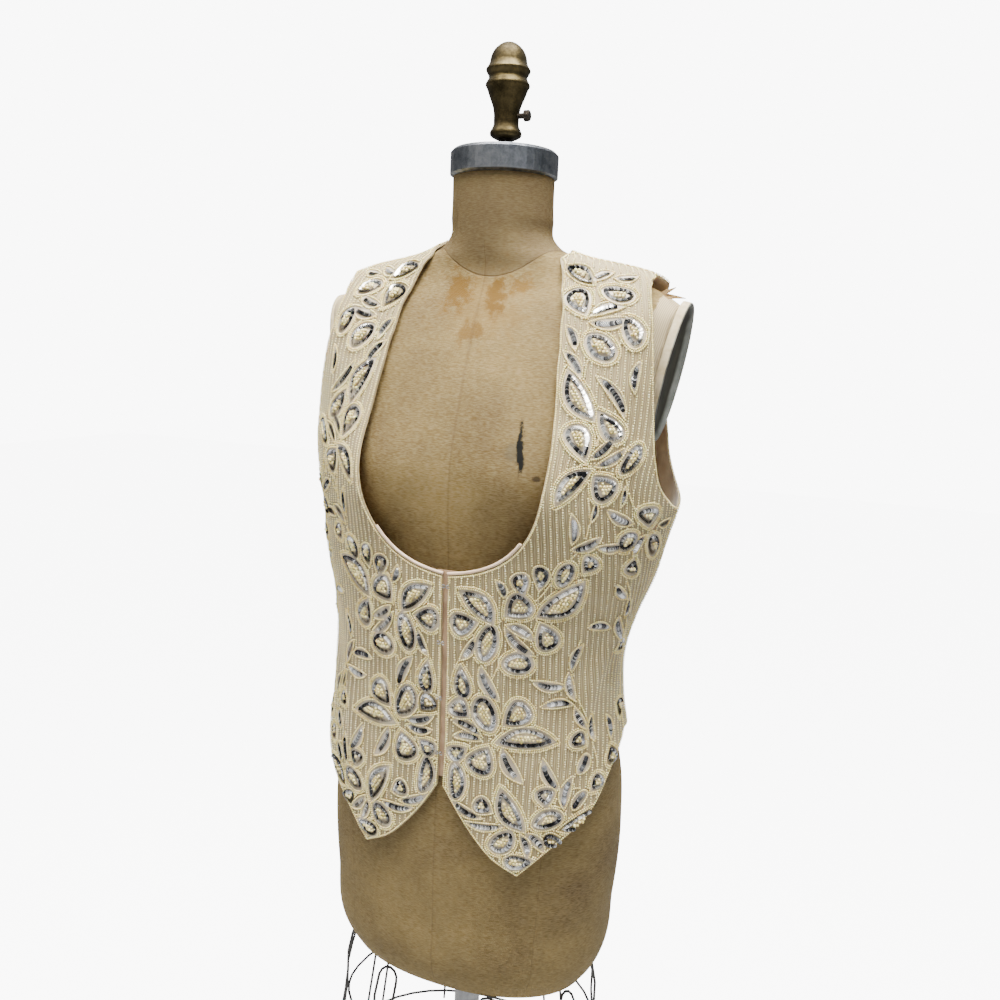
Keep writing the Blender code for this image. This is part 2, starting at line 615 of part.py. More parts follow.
def build_cloth():
    """The two fronts, the back, the strip behind the closure and the rolls at the neck."""
    for side, label in ((1.0, "left"), (-1.0, "right")):
        front = front_places(side)
        front[..., 0] *= side
        wall("front_" + label, front, 0.0, CLOTH_THICK, -SEAM_GAP / 2.0, "beaded_satin")
        edge = front[BODY_ROWS - 1:, 0]
        edge = edge[edge[:, 1] < ROLL_TOP]
        tube("neck_roll_" + label, roll_line(edge[:, 0], edge[:, 1]), ROLL_RADIUS, "pink_satin", 8)
    wall("back", back_places(), 0.0, CLOTH_THICK, SEAM_GAP / 2.0, "beaded_satin")
    acrosses = np.linspace(-UNDERLAP_HALF, UNDERLAP_HALF, 5) + SIDE_SHIFT
    strip = np.array([[(float(turn_at(a, r)), r) for a in acrosses] for r in UNDERLAP_RISES])
    wall("underlap", strip, -UNDERLAP_CLEAR - UNDERLAP_THICK, -UNDERLAP_CLEAR, -SEAM_GAP / 2.0, "pink_satin")


def roll_line(turn, rise):
    """The middle of a roll that lies along an edge of a panel, just off it."""
    middle = cloth_point(turn, rise, np.full(turn.shape, ROLL_RADIUS))
    along = np.gradient(middle, axis=0)
    along = along / np.linalg.norm(along, axis=1, keepdims=True)
    out = np.cross(cloth_normal(turn, rise), along)
    out = out * np.sign(out[:, 2:3])
    line = middle + out * (ROLL_RADIUS + 2.0 * GAP)
    line[:, 1] -= SEAM_GAP / 2.0
    return line


def build_hooks():
    """Bent-wire hooks and eyes in the gap of the closure, in front of the underlap."""
    for number in range(HOOK_COUNT):
        rise = HOOK_FIRST_RISE - HOOK_PITCH * number
        turn = turn_at(np.array([SIDE_SHIFT]), np.array([rise]))
        centre = cloth_point(turn, np.array([rise]), np.array([CLOTH_THICK + HOOK_WIRE + 2.0 * GAP]))[0]
        centre[1] -= SEAM_GAP / 2.0
        loops = (("hook", HOOK_SIDE - HOOK_LOOP, -150.0, 150.0),
                 ("eye", EYE_SIDE + HOOK_LOOP, 30.0, 330.0))
        for name, across, first, last in loops:
            spins = np.radians(np.linspace(first, last, LOOP_POINTS))
            path = [centre + np.array([across + HOOK_LOOP * math.cos(spin), 0.0, HOOK_LOOP * math.sin(spin)])
                    for spin in spins]
            tube("%s_%d" % (name, number + 1), path, HOOK_WIRE, "steel_wire", 6)


def clear_scene():
    """Start from an empty scene."""
    for thing in list(bpy.data.objects):
        bpy.data.objects.remove(thing, do_unlink=True)


def main():
    """Build every piece."""
    clear_scene()
    bpy.context.scene.unit_settings.system = "METRIC"
    build_torso()
    build_arm_plates()
    build_neck_metal()
    build_cage()
    build_stand()
    build_cloth()
    build_hooks()


main()
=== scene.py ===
"""Looks of the beaded waistcoat on its dress form.

Metres, +Z up, the front faces -Y. Heights on the body are rises above the waist line.
The wearer's left is +X. The cloth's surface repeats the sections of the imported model.
"""
import math

import bmesh
import bpy
import numpy as np
from mathutils import Matrix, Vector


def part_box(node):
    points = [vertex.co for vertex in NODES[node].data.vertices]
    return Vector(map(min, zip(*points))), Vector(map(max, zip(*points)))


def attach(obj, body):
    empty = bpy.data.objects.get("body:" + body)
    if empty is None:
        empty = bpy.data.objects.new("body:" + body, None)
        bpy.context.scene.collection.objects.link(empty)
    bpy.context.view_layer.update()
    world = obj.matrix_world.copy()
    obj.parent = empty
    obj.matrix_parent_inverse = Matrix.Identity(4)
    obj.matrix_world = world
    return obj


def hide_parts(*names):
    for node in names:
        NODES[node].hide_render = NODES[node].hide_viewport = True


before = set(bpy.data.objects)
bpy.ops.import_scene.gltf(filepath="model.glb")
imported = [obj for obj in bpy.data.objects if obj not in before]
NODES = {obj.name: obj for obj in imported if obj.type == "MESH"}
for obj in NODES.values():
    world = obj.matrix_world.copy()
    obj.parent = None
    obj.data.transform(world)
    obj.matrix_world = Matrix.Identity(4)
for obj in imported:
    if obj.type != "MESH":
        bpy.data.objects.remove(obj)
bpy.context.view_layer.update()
RANDOM = np.random.default_rng(12)

# The body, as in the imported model
WAIST = 1.030
BUST = {"across": 0.082, "rise": 0.180, "wide": 0.046, "high": 0.050, "swell": 0.016}
CLOTH_THICK = 0.0024
SEAM_GAP = 0.0004
CLOSURE_GAP = 0.0056
UNDERLAP_THICK = 0.0012
UNDERLAP_HALF = 0.012
UNDERLAP_CLEAR = 0.0008
UNDERLAP_LOW = -0.122
UNDERLAP_TOP = 0.093
ROLL_RADIUS = 0.0016
ROLL_TOP = 0.130
EDGE_THIN = 0.0007

# Sections of the form: rise, half_width, front_depth, back_depth, squareness
FORM_SECTIONS = (
    (-0.370, 0.138, 0.088, 0.114, 2.2),
    (-0.354, 0.149, 0.097, 0.125, 2.2),
    (-0.280, 0.161, 0.104, 0.132, 2.2),
    (-0.195, 0.165, 0.106, 0.132, 2.2),
    (-0.120, 0.158, 0.105, 0.122, 2.2),
    (-0.055, 0.133, 0.098, 0.099, 2.2),
    (0.000, 0.121, 0.090, 0.086, 2.2),
    (0.050, 0.124, 0.092, 0.086, 2.3),
    (0.100, 0.134, 0.097, 0.091, 2.4),
    (0.150, 0.147, 0.104, 0.097, 2.5),
    (0.190, 0.155, 0.106, 0.100, 2.5),
    (0.235, 0.168, 0.099, 0.100, 2.6),
    (0.280, 0.187, 0.087, 0.096, 2.7),
    (0.320, 0.196, 0.073, 0.088, 2.7),
    (0.350, 0.193, 0.060, 0.076, 2.5),
    (0.369, 0.166, 0.050, 0.066, 2.2),
    (0.387, 0.122, 0.046, 0.060, 2.0),
    (0.398, 0.091, 0.047, 0.058, 2.0),
    (0.407, 0.067, 0.048, 0.056, 2.0),
    (0.417, 0.0555, 0.049, 0.054, 2.0),
    (0.440, 0.0525, 0.050, 0.052, 2.0),
    (0.478, 0.052, 0.050, 0.051, 2.0),
)

# Sections of the waistcoat's inside: rise, half_width, front_depth, back_depth, squareness
CLOTH_SECTIONS = (
    (-0.240, 0.196, 0.118, 0.150, 2.0),
    (-0.190, 0.187, 0.113, 0.142, 2.0),
    (-0.140, 0.179, 0.110, 0.131, 2.0),
    (-0.090, 0.168, 0.108, 0.122, 2.0),
    (-0.045, 0.162, 0.108, 0.115, 2.0),
    (0.000, 0.160, 0.110, 0.110, 2.0),
    (0.045, 0.168, 0.112, 0.108, 2.0),
    (0.090, 0.180, 0.114, 0.108, 2.1),
    (0.130, 0.188, 0.118, 0.108, 2.1),
    (0.170, 0.1975, 0.119, 0.108, 2.1),
    (0.210, 0.2000, 0.113, 0.107, 2.2),
    (0.250, 0.198, 0.103, 0.106, 2.3),
    (0.285, 0.196, 0.092, 0.101, 2.5),
    (0.320, 0.199, 0.078, 0.092, 2.6),
    (0.3509, 0.1995, 0.0650, 0.0790, 2.5),
    (0.3709, 0.1890, 0.0550, 0.0690, 2.2),
    (0.3885, 0.1450, 0.0500, 0.0630, 2.0),
    (0.3989, 0.0938, 0.0487, 0.0598, 2.0),
    (0.4079, 0.0692, 0.0497, 0.0578, 2.0),
    (0.4179, 0.0574, 0.0507, 0.0558, 2.0),
)
FORM_CENTRE = ((0.080, 0.000), (0.200, 0.003), (0.300, 0.006), (0.380, 0.006), (0.420, 0.004), (0.478, 0.003))
CLOTH_CENTRE = ((-0.150, 0.000), (-0.090, -0.003), (-0.045, -0.005), (0.000, -0.004), (0.045, -0.002),
                (0.090, 0.002), (0.140, 0.006), (0.200, 0.006), (0.300, 0.006), (0.380, 0.006),
                (0.420, 0.004))

# Edges of the waistcoat. Hems: turn from the centre in degrees, rise
FRONT_HEM = ((0.0, -0.130), (6.0, -0.155), (11.0, -0.176), (18.0, -0.199), (26.0, -0.213),
             (36.0, -0.188), (54.0, -0.150), (72.0, -0.107), (90.0, -0.080))
BACK_HEM = ((0.0, -0.092), (30.0, -0.092), (60.0, -0.088), (90.0, -0.080))
# Neck and armhole edges: distance across from the centre, rise
FRONT_NECK = ((0.000, 0.0885), (0.015, 0.0905), (0.038, 0.097), (0.058, 0.108), (0.076, 0.126),
              (0.089, 0.150), (0.096, 0.180), (0.098, 0.212), (0.095, 0.250), (0.090, 0.300),
              (0.0850, 0.345), (0.0782, 0.370), (0.0720, 0.390))
BACK_NECK = ((0.000, 0.3930), (0.030, 0.3940), (0.050, 0.3970), (0.060, 0.4010))
LEFT_ARMHOLE = ((0.1940, 0.168), (0.188, 0.183), (0.183, 0.210), (0.179, 0.250), (0.176, 0.290),
                (0.173, 0.325), (0.169, 0.350), (0.1635, 0.370))
RIGHT_ARMHOLE = ((0.1940, 0.168), (0.190, 0.183), (0.188, 0.210), (0.187, 0.240), (0.181, 0.275),
                 (0.173, 0.308), (0.165, 0.335), (0.159, 0.360), (0.157, 0.374))
BACK_ARMHOLE = ((0.1935, 0.168), (0.184, 0.182), (0.174, 0.205), (0.168, 0.235), (0.161, 0.275),
                (0.153, 0.320), (0.146, 0.354))
UNDERARM_RISE = 0.160
NECK_POINT_ACROSS = 0.0660
LEFT_SHOULDER_POINT = 0.150
RIGHT_SHOULDER_POINT = 0.155
SIDE_SHIFT = 0.0065
SHIFT_LEAN = 0.024
SHIFT_LEAN_FROM = 0.200
HEM_SHIFT = 2.4

# Soft folds: turn from the front in degrees, rise, lean, half_length, half_width, depth
FOLD_GIRTH = 0.155
FOLDS = (
    (62.0, -0.030, 0.55, 0.085, 0.014, 0.0030),
    (40.0, -0.070, 0.30, 0.070, 0.013, 0.0022),
    (72.0, 0.060, -0.40, 0.060, 0.013, 0.0024),
    (118.0, -0.020, -0.45, 0.085, 0.015, 0.0030),
    (142.0, 0.020, -0.20, 0.100, 0.016, 0.0026),
    (104.0, 0.090, 0.40, 0.055, 0.013, 0.0022),
)
ARM_PLANE_TOP = (0.360, 0.190)
ARM_PLANE_LOW = (0.225, 0.163)
ARM_LEAN = (ARM_PLANE_TOP[1] - ARM_PLANE_LOW[1]) / (ARM_PLANE_TOP[0] - ARM_PLANE_LOW[0])
LEFT_SHOULDER_OUT = 0.006
RIGHT_SHOULDER_IN = -0.013
ARM_FLAT_LOW = 0.200
PLATE_RISE = 0.293
PLATE_HALF_WIDE = 0.040
PLATE_HALF_HIGH = 0.068
FINIAL_PROFILE = ((0.000, 0.0105), (0.002, 0.0145), (0.006, 0.0162), (0.010, 0.0142), (0.013, 0.0130),
                  (0.019, 0.0128), (0.026, 0.0132), (0.032, 0.0146), (0.038, 0.0170), (0.044, 0.0193),
                  (0.048, 0.0208), (0.0515, 0.0225), (0.0545, 0.0212), (0.0575, 0.0195), (0.0605, 0.0198),
                  (0.0635, 0.0216), (0.0660, 0.0225), (0.0690, 0.0206), (0.0725, 0.0190), (0.0770, 0.0182),
                  (0.0815, 0.0167), (0.0860, 0.0138), (0.0895, 0.0098), (0.0918, 0.0058), (0.0930, 0.0015))

# Beadwork sizes
SEED_RADIUS = 0.00094
LINE_RADIUS = 0.00108
SEED_PITCH = 0.00215
ROW_PITCH = 0.0062
FRONT_SEED_PITCH = 0.0025
BACK_SEED_PITCH = 0.0025
EDGE_INSET = 0.0014
PEARL_RADIUS = 0.00160
PEARL_PITCH = 0.0032
SEQUIN_RADIUS = 0.0021
SEQUIN_PITCH = 0.00140
SEQUIN_INSET = 0.0049
SEQUIN_SHARE = 0.225
PEARL_INSET = 0.0083
PEARL_SHARE = 0.36
SLIM_SHARE = 0.33
PETAL_GROWTH = 1.13
MOUND_HEIGHT = 0.0022
MOUND_SLOPE = 0.0045
GROUND_LIFT = 0.00025

# Petal shapes: how pointed the root and the tip are
PETAL_SHAPES = {"round": (0.95, 0.48), "leaf": (0.9, 0.95), "oval": (0.55, 0.5), "drop": (0.5, 1.0)}

# The maker's chart of one front, in millimetres. Each flower: across from the closure and up from the waist,
# then its petals: across and up from the flower, heading in degrees, length, width, shape, filling
FLOWERS = (
    (53, 47, (
        (-19, 16, 140, 44, 22, "leaf", "pearls"), (19, 17, 45, 29, 27, "round", "pearls"),
        (62, 26, 38, 56, 25, "leaf", "pearls"), (47, -12, -68, 30, 23, "round", "pearls"),
        (23, -8, -32, 29, 11, "leaf", "sequins"), (21, -20, -44, 37, 10, "leaf", "sequins"),
        (21, -41, -85, 23, 29, "oval", "pearls"), (-9, -22, -102, 38, 21, "oval", "pearls"),
        (-32, -4, 190, 27, 24, "round", "pearls"), (-28, -31, -118, 26, 9, "leaf", "sequins"),
        (23, 42, 96, 23, 17, "round", "sequins"), (4, 36, 112, 19, 8, "leaf", "sequins"),
        (41, 50, 84, 24, 15, "round", "sequins"), (64, 54, 60, 26, 16, "oval", "pearls"))),
    (50, -74, (
        (-32, 27, 140, 23, 22, "round", "pearls"), (-7, 25, 108, 36, 24, "oval", "pearls"),
        (23, 26, 48, 31, 26, "round", "pearls"), (34, 0, 0, 56, 22, "leaf", "pearls"),
        (-8, -23, -112, 30, 27, "round", "pearls"), (-25, 10, 158, 30, 10, "leaf", "sequins"),
        (-24, -1, 180, 27, 9, "leaf", "sequins"), (-33, -18, 214, 22, 18, "round", "pearls"),
        (21, -27, -60, 38, 13, "leaf", "sequins"), (-31, 57, 96, 34, 17, "drop", "pearls"),
        (-5, 57, 116, 37, 12, "leaf", "sequins"), (-33, -48, -86, 38, 18, "oval", "pearls"))),
    (87, -165, (
        (-13, 19, 118, 48, 21, "leaf", "pearls"), (-40, 20, 150, 20, 18, "round", "sequins"),
        (-58, 14, 152, 33, 9, "leaf", "sequins"), (-38, 1, 178, 38, 8, "leaf", "sequins"),
        (24, 11, 22, 30, 20, "oval", "pearls"), (20, 34, 100, 20, 19, "round", "pearls"),
        (22, 57, 118, 34, 11, "leaf", "sequins"), (41, 39, 80, 31, 11, "leaf", "sequins"),
        (55, 30, 54, 20, 11, "oval", "sequins"), (73, 44, 48, 19, 16, "round", "pearls"),
        (57, 10, 30, 44, 15, "leaf", "pearls"), (-19, -14, 218, 28, 21, "oval", "pearls"),
        (4, -17, -68, 25, 9, "leaf", "sequins"), (14, -12, -46, 26, 10, "leaf", "sequins"),
        (33, -11, -12, 24, 15, "drop", "pearls"), (0, -33, 8, 30, 16, "drop", "pearls"))),
    (138, 209, (
        (-14, 21, 118, 36, 23, "round", "pearls"), (11, 39, 128, 36, 20, "drop", "pearls"),
        (-18, 65, 118, 52, 22, "leaf", "pearls"), (9, 17, 48, 28, 9, "leaf", "sequins"),
        (19, 8, 38, 30, 9, "leaf", "sequins"), (38, 7, 62, 30, 16, "oval", "pearls"),
        (-15, -19, 228, 43, 18, "leaf", "pearls"), (15, -19, -45, 28, 25, "round", "pearls"),
        (37, -28, 80, 18, 5, "leaf", "sequins"))),
    (204, 146, (
        (0, 14, 90, 21, 26, "round", "pearls"), (-32, 14, 150, 27, 11, "leaf", "sequins"),
        (-24, -10, 222, 24, 17, "oval", "pearls"), (-12, -16, 242, 26, 8, "leaf", "sequins"),
        (10, -17, -65, 26, 20, "oval", "pearls"), (25, 6, 8, 21, 8, "leaf", "sequins"),
        (-19, -38, 250, 18, 17, "round", "pearls"))),
    (124, 343, (
        (-9, 22, 112, 29, 25, "round", "pearls"), (-8, 53, 146, 33, 19, "leaf", "sequins"),
        (14, 52, 24, 20, 9, "leaf", "sequins"), (36, 50, 12, 22, 8, "leaf", "sequins"),
        (27, 32, -14, 30, 18, "oval", "pearls"), (16, 15, 20, 31, 10, "leaf", "sequins"),
        (19, 3, 14, 34, 11, "leaf", "sequins"), (40, -6, -62, 30, 20, "oval", "pearls"),
        (12, -22, -40, 33, 23, "oval", "pearls"), (-15, -14, -62, 24, 9, "leaf", "sequins"),
        (-11, -40, -56, 29, 9, "leaf", "sequins"), (47, -48, 80, 29, 8, "leaf", "sequins"),
        (27, -68, -50, 44, 10, "leaf", "sequins"))),
    (150, 90, (
        (-10, 22, 60, 19, 17, "round", "pearls"), (12, 40, 4, 26, 9, "leaf", "sequins"),
        (-11, 43, 26, 30, 10, "leaf", "sequins"), (-24, 59, 86, 28, 9, "leaf", "sequins"),
        (-3, 76, 70, 20, 5, "leaf", "sequins"), (25, -9, 130, 19, 9, "leaf", "sequins"),
        (35, -28, 82, 22, 7, "leaf", "sequins"), (5, -47, 174, 25, 9, "leaf", "sequins"),
        (29, -52, 104, 29, 8, "leaf", "sequins"), (38, -74, 20, 18, 15, "round", "pearls"))),
    (140, -40, (
        (-9, 52, 68, 28, 9, "leaf", "sequins"), (-13, 21, -72, 30, 9, "leaf", "sequins"),
        (-36, 24, 172, 31, 10, "leaf", "sequins"), (-27, 3, 180, 31, 9, "leaf", "sequins"),
        (-3, -13, -62, 25, 7, "leaf", "sequins"), (12, -24, -76, 29, 8, "leaf", "sequins"),
        (-3, -35, 150, 19, 17, "round", "pearls"), (4, -60, 62, 19, 13, "oval", "sequins"),
        (40, -57, -80, 20, 17, "round", "pearls"), (36, -28, 108, 25, 8, "leaf", "sequins"),
        (58, -15, 82, 20, 18, "round", "pearls"))),
)

# Beaded stems on the same chart: across, up
STEMS = (
    ((178, 98), (186, 72), (185, 48), (190, 22)),
    ((134, 30), (128, 6), (130, -18), (139, -44), (152, -76), (160, -104), (150, -126)),
    ((87, -165), (112, -142), (133, -124), (150, -126)),
    ((122, 343), (128, 322), (124, 296), (126, 268), (140, 240), (138, 209)),
    ((138, 209), (139, 188), (142, 162), (134, 132), (112, 108), (92, 76), (53, 47)),
    ((176, 196), (186, 172), (204, 146)),
    ((53, 47), (56, 10), (48, -16), (44, -40), (50, -74)),
    ((50, -74), (66, -100), (72, -128), (87, -165)),
)

# Fineness of the shells
BODY_ROWS = 44
UPPER_ROWS = 100
PANEL_COLUMNS = 56
HEM_TIP_COLUMN = 20
BACK_SEAM_COLUMNS = 16
BACK_NECK_COLUMNS = 22
TORSO_SIDES = 128
PETAL_STEPS = 19
ROLL_SIDES = 14
ROLL_STEP = 0.4
RIDGE_LOW = 0.350
RIDGE_STEPS = 400
SMOOTH_ANGLE = math.radians(42.0)

# The flat pattern: levels up the cloth, degrees of turn and metres of width
CHART_LEVELS = 440
CHART_SPREAD = 112.0
CHART_TURN_STEP = 0.5
CHART_WIDTH = 0.30
CHART_WIDTH_STEPS = 301

# Sizes of the beadwork's layout
OUTLINE_STEP = 0.0006
OUTLINE_SLACK = 0.0002
FEWEST_POINTS = 8
PETAL_RINGS = (1.0, 0.86, 0.55, 0.22)
GROUND_CLEAR = 0.00005
SHOWN_SHARE = 0.55
BACK_OVERLAP = 0.0004
JITTER_ALONG = 0.00010
JITTER_ACROSS = 0.00012
ROW_SWAY = 0.0004
PEARL_JITTER = 0.00016
PEARL_ROW_SHARE = 0.866
SLIM_LIFT = 0.0009
SEQUIN_LIFT = 0.0011
PEARL_LIFT = 0.0014
ROLL_CLEAR = 0.0006
STRAP_MIDDLE = 0.118
ROW_FIRST = 0.0052
ROW_CLEAR = 0.0019
SLIM_WIDTH = 0.0152
SEQUIN_TILT = 0.62
SLIM_TILT = 0.46
PETAL_WANDER = 4.0
LEFT_SLIP = 0.0004
RIGHT_SLIP = 0.0016

# The linen: its threads, neck seam, shoulder tape and body seams
LINEN_PITCH = 0.0011
NECK_SEAM_LOW = 0.3778
NECK_SEAM_MIDDLE = 0.012
NECK_SEAM_BOW = 9.0
NECK_SEAM_RISE = 0.028
NECK_SEAM_BACK = 0.010
TAPE_WIDTH = 0.023
TAPE_DROP = 0.084
TAPE_SPREAD = 0.066
TAPE_FADE = 0.010
TAPE_TOP = 0.372
TAPE_RIBS = 84.0
NOMINAL_GIRTH = 0.90
CAP_CHART = (0.2, 0.0)
SEAM_PLACES = (0.0, 0.098, -0.098, 0.225, -0.225, 0.4498, -0.4498)

# Small shapes: node, fixed inputs, radius input, how flat
BEAD_SHAPES = {
    "seed": ("GeometryNodeMeshUVSphere", {"Segments": 6, "Rings": 2}, "Radius", 0.92),
    "seed_round": ("GeometryNodeMeshIcoSphere", {"Subdivisions": 1}, "Radius", 0.95),
    "pearl": ("GeometryNodeMeshIcoSphere", {"Subdivisions": 2}, "Radius", 1.0),
    "sequin": ("GeometryNodeMeshCone", {"Vertices": 9, "Radius Top": 0.0, "Depth": 0.00035},
               "Radius Bottom", 1.0),
}

# Oval dishes on the arms: distance out from the flat, share of the full oval
DISH_PROFILE = ((0.0003, 1.0), (0.0078, 1.0), (0.0087, 0.988), (0.0089, 0.970), (0.0082, 0.945),
                (0.0064, 0.890), (0.0047, 0.810), (0.0035, 0.700), (0.0029, 0.550), (0.0027, 0.300),
                (0.0027, 0.080))
DISH_SIDES = 72
# Size and forward shift of the dark oval in each dish: the enamel's olive with painted shade of the hollow
DARK_WIDE = 0.86
DARK_HIGH = 0.96
DARK_AHEAD = 0.11

# Torn canvas: root, heading, length, width, curl
SCRAPS = (
    ((0.1750, -0.0060, WAIST + 0.3665), (0.85, 0.15, 0.42), 0.015, 0.0044, 0.002),
    ((0.1770, -0.0040, WAIST + 0.3655), (0.97, 0.10, -0.10), 0.021, 0.0046, -0.002),
    ((0.1750, -0.0090, WAIST + 0.3640), (0.95, -0.20, -0.12), 0.015, 0.0040, 0.002),
    ((0.1730, 0.0020, WAIST + 0.3670), (0.70, 0.30, 0.66), 0.008, 0.0030, 0.001),
)
SCRAP_STEPS = 8
SCRAP_THICK = 0.0006

# Stains on the chest, and a slit painted near black as the shade inside the tear: centre, half sizes, colour,
# strength
STAINS_AND_SLIT_SHADE = (
    ((0.012, -0.055, WAIST + 0.350), (0.060, 0.150, 0.050), "#7C6234", 0.45),
    ((-0.0193, -0.0543, WAIST + 0.362), (0.018, 0.150, 0.027), "#5F430F", 0.74),
    ((0.0232, -0.0540, WAIST + 0.360), (0.016, 0.150, 0.027), "#5F430F", 0.78),
    ((0.0430, -0.0487, WAIST + 0.3715), (0.020, 0.150, 0.012), "#6A4D17", 0.70),
    ((0.0034, -0.0720, WAIST + 0.3224), (0.018, 0.150, 0.014), "#5F430F", 0.52),
    ((0.0690, -0.1077, WAIST + 0.2120), (0.0110, 0.150, 0.0150), "#4A4A3E", 0.40),
    # The slit: near black, painted shade inside the torn opening
    ((0.0720, -0.1077, WAIST + 0.2270), (0.0026, 0.150, 0.0150), "#0B0C0A", 1.00),
    ((0.0744, -0.1077, WAIST + 0.2130), (0.0042, 0.150, 0.0190), "#0B0C0A", 1.00),
    ((0.0766, -0.1077, WAIST + 0.2000), (0.0038, 0.150, 0.0150), "#0B0C0A", 1.00),
    ((0.0925, -0.1071, WAIST + 0.1894), (0.0038, 0.150, 0.0038), "#33281A", 0.80),
)

# The photograph's view, in radians, metres and millimetres of lens
VIEW_TURN = 0.3910
VIEW_DISTANCE = 0.99989
VIEW_HEIGHT = 1.33780
VIEW_PITCH = 0.15922
VIEW_YAW = 0.01324
VIEW_ROLL = 0.04393
VIEW_LENS = 33.879
FLOOR_REACH = 9.0
BACKDROP_GLOW = 9.0
FLOOR_GLOW = 8.0

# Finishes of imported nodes: how their names start, then the metal's name, light, dark, roughness, grain,
# cloud scale and metallic
REPAINTED = (
    # Spun on a lathe: fine level rings and a soft grey gleam
    (("neck_cap",), "spun_aluminium", "#7F8287", "#484C52", 0.38, (30.0, 30.0, 1500.0), 70.0, 1.0),
    # Oil-blackened and handled: near black with a brown cast
    (("pole_stub", "finial_screw"), "blackened_steel", "#4A443C", "#1D1A18", 0.45, (400.0,) * 3, 40.0, 1.0),
    # Dipped in black enamel: a deep black with a slight gloss
    (("cage_rib", "cage_hoop"), "black_wire_enamel", "#2A2826", "#0E0D0D", 0.42, (300.0,) * 3, 60.0, 0.0),
    # Drawn through a die: bright, with long scratches up its length
    (("stand_pole", "cage_hub"), "drawn_steel", "#858688", "#6B6C70", 0.34, (900.0, 900.0, 30.0), 40.0, 1.0),
    # Sand-cast and painted: a dull black with a grainy skin
    (("stand_base", "stand_collar"), "black_cast_iron", "#2E2E2D", "#161616", 0.55, (260.0,) * 3, 50.0, 0.0),
    # Nickel-plated wire: small bright glints
    (("hook_", "eye_"), "nickel_wire", "#D6D6D2", "#8D8C88", 0.25, (500.0,) * 3, 40.0, 1.0),
)

# Area lights: name, place, aim, width and height, watts, colour
LIGHTS = (
    ("key", (-1.1, -1.5, 2.9), (0.0, 0.0, 1.15), (1.3, 1.3), 21.0, "#FFF8EE"),
    ("fill", (1.9, -1.4, 1.7), (0.0, 0.0, 1.1), (1.2, 1.6), 4.0, "#F4F7FF"),
    ("top", (0.12, -0.28, 2.50), (0.0, 0.0, 1.2), (1.0, 1.0), 103.0, "#FFFCF6"),
)


def linear(channel):
    """One sRGB channel from 0 to 1, as linear light."""
    if channel <= 0.04045:
        return channel / 12.92
    return ((channel + 0.055) / 1.055) ** 2.4


def colour(hex_value):
    """An sRGB hex colour as linear RGBA."""
    return (*[linear(int(hex_value[i:i + 2], 16) / 255.0) for i in (1, 3, 5)], 1.0)


def add(tree, kind, inputs=None, stops=(), **settings):
    """Add a node with its settings. An input is a value or a node's output; stops fill a colour ramp."""
    made = tree.nodes.new(kind)
    for name, value in settings.items():
        setattr(made, name, value)
    for key, value in (inputs or {}).items():
        socket = made.inputs[key]
        if isinstance(value, bpy.types.Node):
            value = value.outputs[0]
        if isinstance(value, bpy.types.NodeSocket):
            tree.links.new(value, socket)
        else:
            socket.default_value = value
    for number, (place, hex_value) in enumerate(stops):
        bar = made.color_ramp.elements
        element = bar[number] if number < 2 else bar.new(place)
        element.position = place
        element.color = colour(hex_value)
    return made


def new_material(name, roughness, metallic=0.0, **plain):
    """A Principled material with plain values on the shader's own sockets; gives its tree and shader."""
    material = bpy.data.materials.new(name)
    material.use_nodes = True
    shader = material.node_tree.nodes["Principled BSDF"]
    shader.inputs["Roughness"].default_value = roughness
    shader.inputs["Metallic"].default_value = metallic
    for key, value in plain.items():
        shader.inputs[key].default_value = value
    return material, material.node_tree, shader


def bump(tree, shader, height, strength, distance):
    """Raise the surface by a height."""
    raised = add(tree, "ShaderNodeBump", {"Height": height, "Strength": strength, "Distance": distance})
    tree.links.new(raised.outputs[0], shader.inputs["Normal"])


def couched_ground():
    """Silk ground laid with fine threads between the bead rows: a soft ribbed sheen."""
    material, tree, shader = new_material(
        "couched_silk_ground", 0.55, **{"Sheen Weight": 0.15, "Specular IOR Level": 0.3})
    place = add(tree, "ShaderNodeUVMap", uv_map="chart")
    axes = add(tree, "ShaderNodeSeparateXYZ", {0: place})
    rows = add(tree, "ShaderNodeMath", {0: axes.outputs[0], 1: 2.0 * math.pi * 3.0 / ROW_PITCH},
               operation="MULTIPLY")
    wave = add(tree, "ShaderNodeMath", {0: rows}, operation="COSINE")
    ridge = add(tree, "ShaderNodeMath", {0: wave, 1: 0.5, 2: 0.5}, operation="MULTIPLY_ADD")
    stitch = add(tree, "ShaderNodeTexNoise", {"Vector": place, "Scale": 900.0, "Detail": 2.0})
    mottled = add(tree, "ShaderNodeTexNoise", {"Vector": place, "Scale": 26.0, "Detail": 3.0})
    mixed = add(tree, "ShaderNodeMath", {0: ridge, 1: 0.34, 2: 0.0}, operation="MULTIPLY_ADD")
    worn = add(tree, "ShaderNodeMath", {0: mottled, 1: 0.66, 2: mixed}, operation="MULTIPLY_ADD")
    tone = add(tree, "ShaderNodeValToRGB", {0: worn},
               stops=((0.14, "#847554"), (0.82, "#B8A984"), (0.45, "#9A8B67")))
    tree.links.new(tone.outputs[0], shader.inputs["Base Color"])
    height = add(tree, "ShaderNodeMath", {0: stitch, 1: 0.45, 2: ridge}, operation="MULTIPLY_ADD")
    bump(tree, shader, height, 0.55, 0.0006)
    return material


